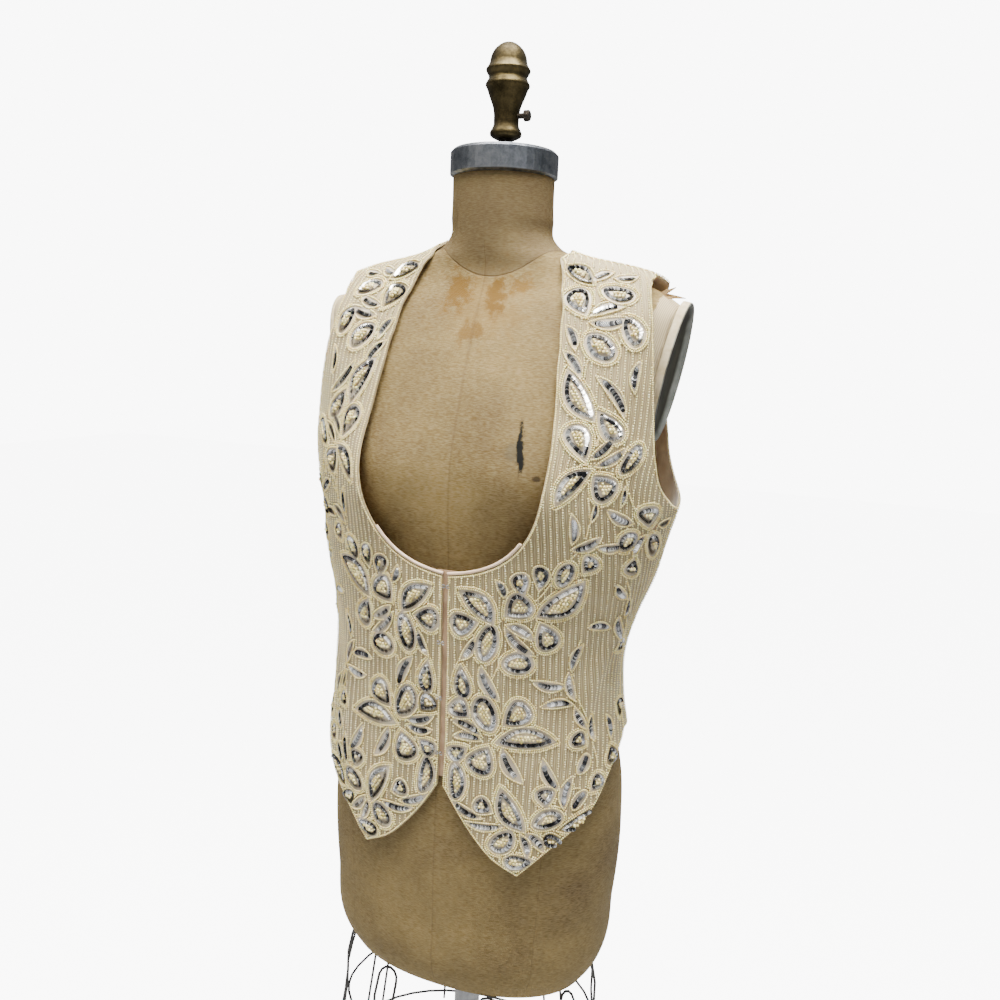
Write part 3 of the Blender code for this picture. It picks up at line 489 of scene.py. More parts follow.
def satin(name, light, dark, roughness):
    """Silk satin: a smooth face with a soft directional sheen and slight puckers."""
    material, tree, shader = new_material(name, roughness, **{"Sheen Weight": 0.5, "Anisotropic": 0.4})
    place = add(tree, "ShaderNodeTexCoord").outputs["Object"]
    cloudy = add(tree, "ShaderNodeTexNoise", {"Vector": place, "Scale": 60.0, "Detail": 3.0})
    tone = add(tree, "ShaderNodeValToRGB", {0: cloudy}, stops=((0.3, dark), (0.7, light)))
    tree.links.new(tone.outputs[0], shader.inputs["Base Color"])
    stretched = add(tree, "ShaderNodeMapping", {"Vector": place, "Scale": (900.0, 900.0, 2600.0)})
    weave = add(tree, "ShaderNodeTexNoise", {"Vector": stretched, "Scale": 1.0, "Detail": 1.0})
    bump(tree, shader, weave, 0.25, 0.0003)
    return material


def glass_bead(name, light, dark, roughness):
    """Pearl-coated glass: creamy, with a clear gloss and a tone that differs from bead to bead."""
    material, tree, shader = new_material(
        name, roughness, **{"Coat Weight": 0.6, "Coat Roughness": 0.12, "Subsurface Weight": 0.08,
                            "Subsurface Scale": 0.001})
    tint_and_painted_reflection = add(tree, "ShaderNodeAttribute", attribute_name="tint_and_painted_reflection")
    tone = add(tree, "ShaderNodeValToRGB", {0: tint_and_painted_reflection.outputs["Fac"]}, stops=((0.0, dark), (1.0, light)))
    tree.links.new(tone.outputs[0], shader.inputs["Base Color"])
    return material


def sequin_metal():
    """Metallised plastic sequins, from silver to smoked black, with bright edges. The run from dark to near
    white is partly the sequins' own smoky colour and partly painted reflection, with a painted highlight at
    its white end.
    """
    material, tree, shader = new_material("metallised_sequin", 0.16, 0.9, **{"Coat Weight": 0.5})
    tint_and_painted_reflection = add(tree, "ShaderNodeAttribute", attribute_name="tint_and_painted_reflection")
    # Dark to near-white tones: smoked and silver sequins, with painted reflection and a painted highlight at
    # the light end
    tone = add(tree, "ShaderNodeValToRGB", {0: tint_and_painted_reflection.outputs["Fac"]},
               stops=((0.0, "#17171A"), (1.0, "#FFFFFC"), (0.30, "#3A3A3C"), (0.62, "#AAA9A6")))
    tree.links.new(tone.outputs[0], shader.inputs["Base Color"])
    return material


def varnished_linen():
    """Linen glued on papier-mache under old, uneven varnish: a fine weave with long slubs and body seams.

    The neck is darker above its seam. Water stains, a slit painted near black as the shade inside the tear,
    with its smudge, and a paler ribbed tape at the arm plates are laid over it.
    """
    material, tree, shader = new_material("varnished_linen", 0.66, **{"Specular IOR Level": 0.12})
    place = add(tree, "ShaderNodeTexCoord").outputs["Object"]
    chart = add(tree, "ShaderNodeUVMap", uv_map="chart")
    axes = add(tree, "ShaderNodeSeparateXYZ", {0: chart})
    threads = []
    for axis in (0, 1):
        spread = add(tree, "ShaderNodeMath", {0: axes.outputs[axis], 1: 2.0 * math.pi / LINEN_PITCH},
                     operation="MULTIPLY")
        threads.append(add(tree, "ShaderNodeMath", {0: spread}, operation="SINE"))
    weave = add(tree, "ShaderNodeMath", {0: threads[0], 1: threads[1]}, operation="MULTIPLY")
    stretched = add(tree, "ShaderNodeMapping", {"Vector": place, "Scale": (220.0, 220.0, 1400.0)})
    slub = add(tree, "ShaderNodeTexNoise", {"Vector": stretched, "Scale": 1.0, "Detail": 2.0})
    cloudy = add(tree, "ShaderNodeTexNoise", {"Vector": place, "Scale": 9.0, "Detail": 6.0, "Roughness": 0.6})
    base = add(tree, "ShaderNodeValToRGB", {0: cloudy},
               stops=((0.28, "#574627"), (0.75, "#8C7647"), (0.5, "#726038")))
    thread = add(tree, "ShaderNodeValToRGB", {0: slub}, stops=((0.35, "#5E4A30"), (0.65, "#D8C49C")))
    fine = add(tree, "ShaderNodeMix", {"Factor": 0.16, 6: base, 7: thread}, data_type="RGBA")
    painted = fine.outputs[2]
    wander = add(tree, "ShaderNodeTexNoise",
                 {"Vector": place, "Scale": 75.0, "Detail": 8.0, "Roughness": 0.72})
    # Stains, then the slit's painted shade
    for centre, radius, tone, depth in STAINS_AND_SLIT_SHADE:
        near = add(tree, "ShaderNodeVectorMath", {0: place, 1: centre}, operation="SUBTRACT")
        shape = add(tree, "ShaderNodeMapping", {"Vector": near, "Scale": tuple(1.0 / r for r in radius)})
        away = add(tree, "ShaderNodeVectorMath", {0: shape}, operation="LENGTH").outputs["Value"]
        ragged = add(tree, "ShaderNodeMath", {0: wander, 1: 3.4, 2: away}, operation="MULTIPLY_ADD")
        cover = add(tree, "ShaderNodeMapRange", {0: ragged, 1: 2.10, 2: 2.62, 3: depth, 4: 0.0})
        blend = add(tree, "ShaderNodeMix", {"Factor": cover, 6: painted, 7: colour(tone)}, data_type="RGBA")
        painted = blend.outputs[2]
    for seam in SEAM_PLACES:
        aside = add(tree, "ShaderNodeMath", {0: axes.outputs[0], 1: -seam}, operation="ADD")
        gap = add(tree, "ShaderNodeMath", {0: aside}, operation="ABSOLUTE")
        line = add(tree, "ShaderNodeMapRange", {0: gap, 1: 0.0002, 2: 0.0008, 3: 0.26, 4: 0.0})
        blend = add(tree, "ShaderNodeMix", {"Factor": line, 6: painted, 7: colour("#54432C")},
                    data_type="RGBA")
        painted = blend.outputs[2]
        lip = add(tree, "ShaderNodeMapRange", {0: gap, 1: 0.0002, 2: 0.0016, 3: -1.6, 4: 0.0})
        weave = add(tree, "ShaderNodeMath", {0: weave, 1: lip}, operation="ADD")
    above = add(tree, "ShaderNodeAttribute", attribute_name="above_neck_seam").outputs["Fac"]
    neck = add(tree, "ShaderNodeMapRange", {0: above, 1: 0.0, 2: 0.0006, 3: 0.0, 4: 0.50})
    blend = add(tree, "ShaderNodeMix", {"Factor": neck, 6: painted, 7: colour("#524632")}, data_type="RGBA")
    painted = blend.outputs[2]
    near = add(tree, "ShaderNodeMath", {0: above}, operation="ABSOLUTE")
    line = add(tree, "ShaderNodeMapRange", {0: near, 1: 0.0004, 2: 0.0011, 3: 0.62, 4: 0.0})
    blend = add(tree, "ShaderNodeMix", {"Factor": line, 6: painted, 7: colour("#3E3020")}, data_type="RGBA")
    painted = blend.outputs[2]
    weave = add(tree, "ShaderNodeMath", {0: line, 1: -4.0, 2: weave}, operation="MULTIPLY_ADD")
    tape = add(tree, "ShaderNodeAttribute", attribute_name="shoulder_tape").outputs["Fac"]
    torn = add(tree, "ShaderNodeMath", {0: wander, 1: 0.5, 2: tape}, operation="MULTIPLY_ADD")
    taped = add(tree, "ShaderNodeMapRange", {0: torn, 1: 0.40, 2: 0.44, 3: 0.0, 4: 0.85})
    spread = add(tree, "ShaderNodeMath", {0: tape, 1: TAPE_RIBS}, operation="MULTIPLY")
    ribs = add(tree, "ShaderNodeMath", {0: spread}, operation="SINE")
    ribbed = add(tree, "ShaderNodeMapRange", {0: ribs, 1: -1.0, 2: 1.0})
    cloth = add(tree, "ShaderNodeValToRGB", {0: ribbed}, stops=((0.0, "#AB9A78"), (1.0, "#CFC09E")))
    blend = add(tree, "ShaderNodeMix", {"Factor": taped, 6: painted, 7: cloth}, data_type="RGBA")
    painted = blend.outputs[2]
    tree.links.new(painted, shader.inputs["Base Color"])
    height = add(tree, "ShaderNodeMath", {0: slub, 1: 1.2, 2: weave}, operation="MULTIPLY_ADD")
    bump(tree, shader, height, 0.5, 0.0004)
    return material


def metal(name, light, dark, roughness, grain, scale=40.0, metallic=1.0):
    """A worn metal or paint: two tones, a grain stretched along one axis and uneven gloss."""
    material, tree, shader = new_material(name, roughness, metallic)
    place = add(tree, "ShaderNodeTexCoord").outputs["Object"]
    cloudy = add(tree, "ShaderNodeTexNoise",
                 {"Vector": place, "Scale": scale, "Detail": 6.0, "Roughness": 0.65})
    tone = add(tree, "ShaderNodeValToRGB", {0: cloudy}, stops=((0.36, dark), (0.64, light)))
    tree.links.new(tone.outputs[0], shader.inputs["Base Color"])
    gloss = add(tree, "ShaderNodeMapRange",
                {0: cloudy, 1: 0.3, 2: 0.7, 3: roughness + 0.14, 4: roughness - 0.08})
    tree.links.new(gloss.outputs[0], shader.inputs["Roughness"])
    drawn = add(tree, "ShaderNodeMapping", {"Vector": place, "Scale": grain})
    scratch = add(tree, "ShaderNodeTexNoise", {"Vector": drawn, "Scale": 1.0, "Detail": 3.0})
    bump(tree, shader, scratch, 0.3, 0.0004)
    return material


def unit(vectors):
    """The same directions at length one."""
    return vectors / np.linalg.norm(vectors, axis=-1, keepdims=True)


def run_length(points):
    """The length along a line up to each of its points."""
    return np.concatenate([[0.0], np.cumsum(np.linalg.norm(np.diff(points, axis=0), axis=1))])


def beside(along):
    """Flat directions a quarter turn clockwise from those given."""
    return np.stack([along[:, 1], -along[:, 0]], axis=1)


def smooth_curve(knots, values, where):
    """A smooth curve through the knots, read at the places given."""
    knots = np.asarray(knots, float)
    values = np.asarray(values, float)
    slopes = np.gradient(values, knots)
    where = np.clip(np.asarray(where, float), knots[0], knots[-1])
    cell = np.clip(np.searchsorted(knots, where) - 1, 0, len(knots) - 2)
    step = knots[cell + 1] - knots[cell]
    t = (where - knots[cell]) / step
    start = (2 * t ** 3 - 3 * t ** 2 + 1) * values[cell]
    leave = (t ** 3 - 2 * t ** 2 + t) * step * slopes[cell]
    end = (3 * t ** 2 - 2 * t ** 3) * values[cell + 1]
    arrive = (t ** 3 - t ** 2) * step * slopes[cell + 1]
    return start + leave + end + arrive


def section_value(sections, column, rise):
    """One column of a section table at any rise."""
    return smooth_curve([row[0] for row in sections], [row[column] for row in sections], rise)


def section_point(sections, centre_rows, turn, rise):
    """A point on a body. Turn is 0 at the front centre, 90 at the left side, 180 at the back."""
    half_width, front, back, power = (section_value(sections, k, rise) for k in (1, 2, 3, 4))
    side = np.sin(np.radians(turn))
    ahead = np.cos(np.radians(turn))
    x = half_width * np.sign(side) * np.abs(side) ** (2.0 / power)
    depth = np.where(ahead > 0.0, front, back)
    y = -depth * np.sign(ahead) * np.abs(ahead) ** (2.0 / power)
    across = ((np.abs(x) - BUST["across"]) / BUST["wide"]) ** 2
    above = ((rise - BUST["rise"]) / BUST["high"]) ** 2
    y = y - BUST["swell"] * np.exp(-across - above) * np.maximum(ahead, 0.0)
    return np.stack([x + section_value(centre_rows, 1, rise), y, WAIST + rise + 0.0 * x], axis=-1)


def turn_at(across, rise):
    """The turn at which the cloth's section is this far across."""
    half_width = section_value(CLOTH_SECTIONS, 1, rise)
    power = section_value(CLOTH_SECTIONS, 4, rise)
    share = np.clip(np.abs(across) / half_width, 0.0, 1.0)
    return np.sign(across) * np.degrees(np.arcsin(share ** (power / 2.0)))


def fold_lift(turn, rise):
    """How far the folds move the cloth outward."""
    lift = np.zeros(np.broadcast(turn, rise).shape)
    girth = FOLD_GIRTH * math.pi / 180.0
    for number, (fold_turn, fold_rise, lean, half_length, half_width, depth) in enumerate(FOLDS):
        for side in (-1.0, 1.0):
            uneven = 1.0 + 0.25 * side * math.cos(2.4 * number)
            along = rise - fold_rise - 0.012 * side * math.sin(1.7 * number)
            beside = (turn - side * fold_turn) * girth - side * lean * along
            lift = lift + depth * uneven * np.exp(-(beside / half_width) ** 2 - (along / half_length) ** 2)
    return lift


def cloth_base(turn, rise):
    """The inside of the waistcoat before it has a thickness."""
    point = section_point(CLOTH_SECTIONS, CLOTH_CENTRE, turn, rise)
    outward = np.stack([point[..., 0], point[..., 1], 0.0 * point[..., 0]], axis=-1)
    outward = outward / np.maximum(np.linalg.norm(outward, axis=-1, keepdims=True), 1e-6)
    return point + outward * fold_lift(turn, rise)[..., None]


def cloth_frame(turn, rise):
    """The outward and the upward directions of the cloth."""
    step_turn, step_rise = 0.5, 0.0005
    along = cloth_base(turn + step_turn, rise) - cloth_base(turn - step_turn, rise)
    up = cloth_base(turn, rise + step_rise) - cloth_base(turn, rise - step_rise)
    return unit(np.cross(along, up)), unit(up)


def cloth_point(turn, rise, out):
    """A point on the cloth, moved out from its inside."""
    return cloth_base(turn, rise) + cloth_frame(turn, rise)[0] * np.asarray(out)[..., None]


def even_path(places, count):
    """Places as (turn, rise), spread by their real length."""
    places = np.asarray(places, float)
    points = section_point(CLOTH_SECTIONS, CLOTH_CENTRE, places[:, 0], places[:, 1])
    length = run_length(points)
    where = np.linspace(0.0, length[-1], count)
    return np.stack([smooth_curve(length, places[:, k], where) for k in (0, 1)], axis=-1)


def side_shift(rise):
    """How far the front edges are to the wearer's left of the section's middle."""
    lean = SHIFT_LEAN * max(0.0, rise - SHIFT_LEAN_FROM)
    return SIDE_SHIFT + lean - float(section_value(CLOTH_CENTRE, 1, rise))


def edge_places(edge, side=0.0):
    """An edge given across and by rise, as (turn, rise), shifted on the side given."""
    return [(float(turn_at(across + side * side_shift(rise), rise)), rise) for across, rise in edge]


def ridge_rise(across):
    """The rise at which the shoulder ridge is this far across."""
    rises = np.linspace(RIDGE_LOW, CLOTH_SECTIONS[-1][0], RIDGE_STEPS)
    return float(np.interp(-across, -section_value(CLOTH_SECTIONS, 1, rises), rises))


def coons(bottom, top, left, right):
    """Fill a four-sided patch between its edges."""
    s = np.linspace(0.0, 1.0, len(bottom))[None, :, None]
    t = np.linspace(0.0, 1.0, len(left))[:, None, None]
    across = (1 - t) * bottom[None] + t * top[None]
    along = (1 - s) * left[:, None] + s * right[:, None]
    corners = ((1 - s) * (1 - t) * bottom[0] + s * (1 - t) * bottom[-1]
               + (1 - s) * t * top[0] + s * t * top[-1])
    return across + along - corners


def shoulder_seam(side):
    """The shoulder seam from the neck point outward, as (turn, rise)."""
    neck_point = NECK_POINT_ACROSS + side * side_shift(CLOTH_SECTIONS[-1][0])
    shoulder_point = LEFT_SHOULDER_POINT if side > 0.0 else RIGHT_SHOULDER_POINT
    return [(90.0, ridge_rise(a)) for a in np.linspace(neck_point, shoulder_point, 5)]


def armhole_path(places, shoulder_point):
    """The side seam and the armhole above it, from hem to shoulder."""
    side = even_path([(90.0, r) for r in np.linspace(FRONT_HEM[-1][1], UNDERARM_RISE, 5)], BODY_ROWS)
    armhole = [(90.0, UNDERARM_RISE)] + places + [shoulder_point]
    return np.concatenate([side, even_path(armhole, UPPER_ROWS + 1)[1:]])


def front_places(side):
    """The grid of (turn, rise) of one front, from hem to shoulder."""
    shoulder = shoulder_seam(side)
    rises = np.linspace(FRONT_HEM[0][1], FRONT_NECK[0][1], 5)
    closure = even_path(edge_places([(CLOSURE_GAP / 2.0, rise) for rise in rises], side), BODY_ROWS)
    neck = edge_places([(CLOSURE_GAP / 2.0, FRONT_NECK[0][1])] + list(FRONT_NECK[1:]), side)
    neck = even_path(neck + [shoulder[0]], UPPER_ROWS + 1)
    hem = [tuple(closure[0])]
    hem += [(turn + side * HEM_SHIFT * math.cos(math.radians(turn)), rise) for turn, rise in FRONT_HEM[1:]]
    tip = hem.index(min(hem, key=lambda place: place[1]))
    inner = even_path(hem[:tip + 1], HEM_TIP_COLUMN)
    outer = even_path(hem[tip:], PANEL_COLUMNS - HEM_TIP_COLUMN + 1)
    armhole = edge_places(LEFT_ARMHOLE if side > 0.0 else RIGHT_ARMHOLE)
    return coons(np.concatenate([inner, outer[1:]]), even_path(shoulder, PANEL_COLUMNS),
                 np.concatenate([closure, neck[1:]]), armhole_path(armhole, shoulder[-1]))


def back_half(side):
    """The back's top edge, from one shoulder point to the centre, and its armhole edge."""
    shoulder = shoulder_seam(side)[::-1]
    seam = even_path(shoulder, BACK_SEAM_COLUMNS + 1)
    neck = [(180.0 - turn, rise) for turn, rise in edge_places(BACK_NECK[:0:-1], side)]
    neck = even_path([shoulder[-1]] + neck + [(180.0, BACK_NECK[0][1])], BACK_NECK_COLUMNS + 1)
    armhole = [(180.0 - turn, rise) for turn, rise in edge_places(BACK_ARMHOLE)]
    return np.concatenate([seam, neck[1:]]), armhole_path(armhole, shoulder[0])


def mirror_turn(places):
    """The same places on the other side of the back."""
    return np.stack([360.0 - places[..., 0], places[..., 1]], axis=-1)


def back_places():
    """The grid of (turn, rise) of the whole back, with turn 180 at its centre."""
    left_top, left_armhole = back_half(1.0)
    right_top, right_armhole = (mirror_turn(path) for path in back_half(-1.0))
    half_bottom = even_path([(180.0 - turn, rise) for turn, rise in reversed(BACK_HEM)], len(left_top))
    bottom = np.concatenate([half_bottom, mirror_turn(half_bottom)[-2::-1]])
    top = np.concatenate([left_top, right_top[-2::-1]])
    return coons(bottom, top, left_armhole, right_armhole)


class Chart:
    """The flat pattern of a panel: distance across from its starting line and height up its cloth."""

    def __init__(self, starts, way, lean):
        self.rises = np.linspace(CLOTH_SECTIONS[0][0], CLOTH_SECTIONS[-1][0], CHART_LEVELS)
        self.way = way
        self.lean = np.array([lean(rise) for rise in self.rises])
        spread = np.linspace(0.0, CHART_SPREAD, int(CHART_SPREAD / CHART_TURN_STEP) + 1)
        first = np.array([starts(rise) for rise in self.rises])
        self.turns = first[:, None] + way * spread[None]
        grid = section_point(CLOTH_SECTIONS, CLOTH_CENTRE, self.turns, self.rises[:, None] + 0.0 * self.turns)
        steps = np.linalg.norm(np.diff(grid, axis=1), axis=2)
        self.arcs = np.concatenate([np.zeros((len(self.rises), 1)), np.cumsum(steps, axis=1)], axis=1)
        self.even = np.linspace(0.0, CHART_WIDTH, CHART_WIDTH_STEPS)
        self.back = np.array([np.interp(self.even, arc, turn) for arc, turn in zip(self.arcs, self.turns)])
        middle = self.curved(np.full(len(self.rises), STRAP_MIDDLE), None)
        points = section_point(CLOTH_SECTIONS, CLOTH_CENTRE, middle, self.rises)
        length = run_length(points)
        self.heights = length - np.interp(0.0, self.rises, length)

    def curved(self, across, up):
        """Chart places as (turn, rise). With no heights, the turns at the chart's own rises."""
        rise = self.rises if up is None else np.interp(up, self.heights, self.rises)
        row = (rise - self.rises[0]) / (self.rises[1] - self.rises[0])
        low = np.clip(row.astype(int), 0, len(self.rises) - 2)
        share = np.clip(row - low, 0.0, 1.0)
        arc = np.clip(across + np.interp(rise, self.rises, self.lean), 0.0, self.even[-1] - 1e-6)
        column = arc / self.even[1]
        left = column.astype(int)
        part = column - left
        near = self.back[low, left] * (1 - part) + self.back[low, left + 1] * part
        far = self.back[low + 1, left] * (1 - part) + self.back[low + 1, left + 1] * part
        turn = near * (1 - share) + far * share
        return turn if up is None else (turn, rise)

    def flat(self, turn, rise):
        """Places on the body as chart places."""
        row = np.clip((rise - self.rises[0]) / (self.rises[1] - self.rises[0]), 0, len(self.rises) - 1.001)
        low = row.astype(int)
        share = row - low
        start = self.turns[low, 0] * (1 - share) + self.turns[low + 1, 0] * share
        column = np.clip((turn - start) * self.way / CHART_TURN_STEP, 0.0, self.arcs.shape[1] - 1.001)
        left = column.astype(int)
        part = column - left
        arc = self.arcs[low, left] * (1 - part) + self.arcs[low, left + 1] * part
        across = arc - np.interp(rise, self.rises, self.lean)
        return across, np.interp(rise, self.rises, self.heights)


def linked(name, data):
    """A new object in the scene's collection."""
    thing = bpy.data.objects.new(name, data)
    bpy.context.collection.objects.link(thing)
    return thing


def add_values(mesh, label, kind, field, values):
    """A named attribute with one value for each point of a mesh."""
    layer = mesh.attributes.new(label, kind, "POINT")
    layer.data.foreach_set(field, values.astype(np.float32).ravel())


def ring_stack(levels, sides, first=0):
    """Faces of rings stacked into a closed body: its sides from the lowest up, then its low and high caps."""
    here = first + np.arange(sides)
    ahead = np.roll(here, -1)
    faces = []
    for low in range(0, (levels - 1) * sides, sides):
        high = low + sides
        faces.extend(np.stack([low + here, low + ahead, high + ahead, high + here], axis=1))
    return faces + [here[::-1], (levels - 1) * sides + here]


def mesh_object(name, verts, faces, materials, slots=None, chart=None, smooth=True):
    """A named object from points and faces, with its chart as a UV map where it has one."""
    mesh = bpy.data.meshes.new(name)
    mesh.from_pydata(np.asarray(verts, float).tolist(), [], [tuple(int(i) for i in face) for face in faces])
    for material in materials:
        mesh.materials.append(material)
    if slots is not None:
        mesh.polygons.foreach_set("material_index", np.asarray(slots, np.int32))
    if chart is not None:
        layer = mesh.uv_layers.new(name="chart")
        layer.data.foreach_set("uv", np.asarray(chart, np.float32).ravel())
    mesh.polygons.foreach_set("use_smooth", np.full(len(mesh.polygons), smooth))
    if smooth:
        mesh.set_sharp_from_angle(angle=SMOOTH_ANGLE)
    mesh.update()
    return linked(name, mesh)


def grid_faces(rows, columns):
    """Quads over a grid, facing outward where rows rise and columns go to the wearer's left."""
    start = (np.arange(rows - 1)[:, None] * columns + np.arange(columns - 1)[None]).ravel()
    return np.stack([start, start + 1, start + columns + 1, start + columns], axis=1)


def border(rows, columns):
    """The rim of a grid, once round, as indices."""
    low = list(range(columns))
    right = [r * columns + columns - 1 for r in range(1, rows)]
    top = [(rows - 1) * columns + c for c in range(columns - 2, -1, -1)]
    left = [r * columns for r in range(rows - 2, 0, -1)]
    return np.array(low + right + top + left)


def cloth_wall(name, places, flats, shift, outside, inside, inner=0.0, outer=CLOTH_THICK):
    """A closed cloth wall with a thin rounded edge and its lining on the inner face."""
    rows, columns = places.shape[:2]
    rim = border(rows, columns)
    turn, rise = places[..., 0].ravel(), places[..., 1].ravel()
    out = np.full(turn.shape, outer)
    out[rim] -= EDGE_THIN
    layers = [cloth_point(turn, rise, np.full(turn.shape, inner)), cloth_point(turn, rise, out)]
    size = rows * columns
    verts = np.concatenate(layers) + np.array([0.0, shift, 0.0])
    quads = grid_faces(rows, columns)
    ahead = np.roll(rim, -1)
    rim_quads = np.stack([rim, ahead, ahead + size, rim + size], axis=1)
    faces = np.concatenate([quads[:, ::-1], quads + size, rim_quads])
    if np.mean(places[:, -1, 0]) < np.mean(places[:, 0, 0]):
        faces = faces[:, ::-1]
    slots = np.concatenate([np.ones(len(quads)), np.zeros(len(quads)), np.zeros(len(rim_quads))])
    chart = np.concatenate([flats.reshape(-1, 2)] * 2)[faces.ravel()]
    return mesh_object(name, verts, faces, [outside, inside], slots, chart)


def inside(points, polygon):
    """Which points are inside a closed polygon."""
    hit = np.zeros(len(points), bool)
    for (x1, y1), (x2, y2) in zip(polygon, np.roll(polygon, -1, axis=0)):
        if y1 == y2:
            continue
        crosses = (points[:, 1] >= min(y1, y2)) & (points[:, 1] < max(y1, y2))
        hit ^= crosses & (points[:, 0] < x1 + (points[:, 1] - y1) * (x2 - x1) / (y2 - y1))
    return hit


def distance(points, polygon):
    """How far points are from a closed polygon's edge."""
    best = np.full(len(points), 1.0)
    for start, end in zip(polygon, np.roll(polygon, -1, axis=0)):
        along = end - start
        share = np.clip(((points - start) @ along) / max(along @ along, 1e-12), 0.0, 1.0)
        best = np.minimum(best, np.linalg.norm(points - start - share[:, None] * along, axis=1))
    return best


def resample(line, pitch, closed):
    """Even steps along a line, with the direction at each."""
    line = np.concatenate([line, line[:1]]) if closed else np.asarray(line, float)
    length = run_length(line)
    count = max(3, int(round(length[-1] / pitch)))
    where = np.linspace(0.0, length[-1], count, endpoint=not closed)
    points = np.stack([np.interp(where, length, line[:, k]) for k in range(line.shape[1])], axis=1)
    if closed:
        ahead = np.roll(points, -1, axis=0) - np.roll(points, 1, axis=0)
    else:
        ahead = np.gradient(points, axis=0)
    return points, ahead / np.maximum(np.linalg.norm(ahead, axis=1, keepdims=True), 1e-9)


def ring(outline, offset, pitch):
    """A line at a distance outside an outline, or inside it where negative, in even steps."""
    fine, along = resample(outline, OUTLINE_STEP, True)
    moved = fine + beside(along) * offset
    keep = distance(moved, outline) > abs(offset) - OUTLINE_SLACK
    if offset < 0.0:
        keep &= inside(moved, outline)
    if keep.sum() < FEWEST_POINTS:
        return np.zeros((0, 2)), np.zeros((0, 2))
    return resample(moved[keep], pitch, True)


def petal_outline(across, up, heading, length, width, shape, bend):
    """A petal's outline, anticlockwise, and its bent middle line."""
    root, tip = PETAL_SHAPES[shape]
    s = (1.0 - np.cos(np.linspace(0.0, math.pi, PETAL_STEPS))) / 2.0
    half = s ** root * (1.0 - s) ** tip
    half = half / half.max() * width / 2.0
    middle = bend * length * (s * (1.0 - s) * 4.0 - 0.5)
    x = np.concatenate([length * (s - 0.5), length * (s[-2:0:-1] - 0.5)])
    y = np.concatenate([middle - half, (middle + half)[-2:0:-1]])
    spin = math.radians(heading)
    turned = np.array([[math.cos(spin), math.sin(spin)], [-math.sin(spin), math.cos(spin)]])
    outline = np.column_stack([x, y]) @ turned + (across, up)
    return outline, np.column_stack([length * (s - 0.5), middle]) @ turned + (across, up)


def chart_petals(slip):
    """Every petal of one front as its outline, shape and filling, in metres. Slip is how far places stray."""
    petals = []
    for across, up, rows in FLOWERS:
        drift = RANDOM.uniform(-1.0, 1.0, 2) * slip
        for dx, dy, heading, length, width, shape, filling in rows:
            turn = heading + RANDOM.uniform(-1.0, 1.0) * PETAL_WANDER
            bend = RANDOM.uniform(-0.07, 0.07) if shape != "leaf" else RANDOM.choice([-0.10, 0.10])
            place = np.array([across + dx, up + dy]) / 1000.0 + drift
            length, width = (PETAL_GROWTH * size / 1000.0 for size in (length, width))
            outline, middle = petal_outline(place[0], place[1], turn, length, width, shape, bend)
            petals.append({"outline": outline, "middle": middle, "filling": filling, "width": width,
                           "length": length, "place": place})
    return petals


class Beads:
    """Small pieces gathered as points on the cloth, with their outward and running directions."""

    def __init__(self):
        self.rows = []

    def lay(self, chart, flat, along, lift, shift, tint_and_painted_reflection, size=1.0, tilt=0.0, sway=0.0):
        """Lay pieces at chart places, moved out from the cloth by a lift."""
        if len(flat) == 0:
            return
        turn, rise = chart.curved(flat[:, 0], flat[:, 1])
        normal, upward = cloth_frame(turn, rise)
        aside = np.cross(upward, normal) * chart.way
        run = aside * along[:, :1] + upward * along[:, 1:]
        centre = cloth_base(turn, rise) + normal * np.broadcast_to(lift, turn.shape)[:, None]
        centre[:, 1] += shift
        face = normal * math.cos(tilt) + run * math.sin(tilt)
        face = face + np.cross(normal, run) * sway
        count = len(turn)
        self.rows.append(np.column_stack([
            centre, face, run, np.broadcast_to(tint_and_painted_reflection, (count,)), np.broadcast_to(size, (count,))]))

    def made(self, name, kind, radius, material):
        """Turn the points into one plain mesh of small shapes."""
        table = np.concatenate(self.rows)
        mesh = bpy.data.meshes.new(name + "_points")
        mesh.from_pydata(table[:, :3].tolist(), [], [])
        add_values(mesh, "facing", "FLOAT_VECTOR", "vector", table[:, 3:6])
        add_values(mesh, "running", "FLOAT_VECTOR", "vector", table[:, 6:9])
        add_values(mesh, "tint_and_painted_reflection", "FLOAT", "value", table[:, 9])
        add_values(mesh, "size", "FLOAT", "value", table[:, 10])
        points = linked(name + "_points", mesh)
        return realized(name, points, scatter_tree(name, kind, material), radius)


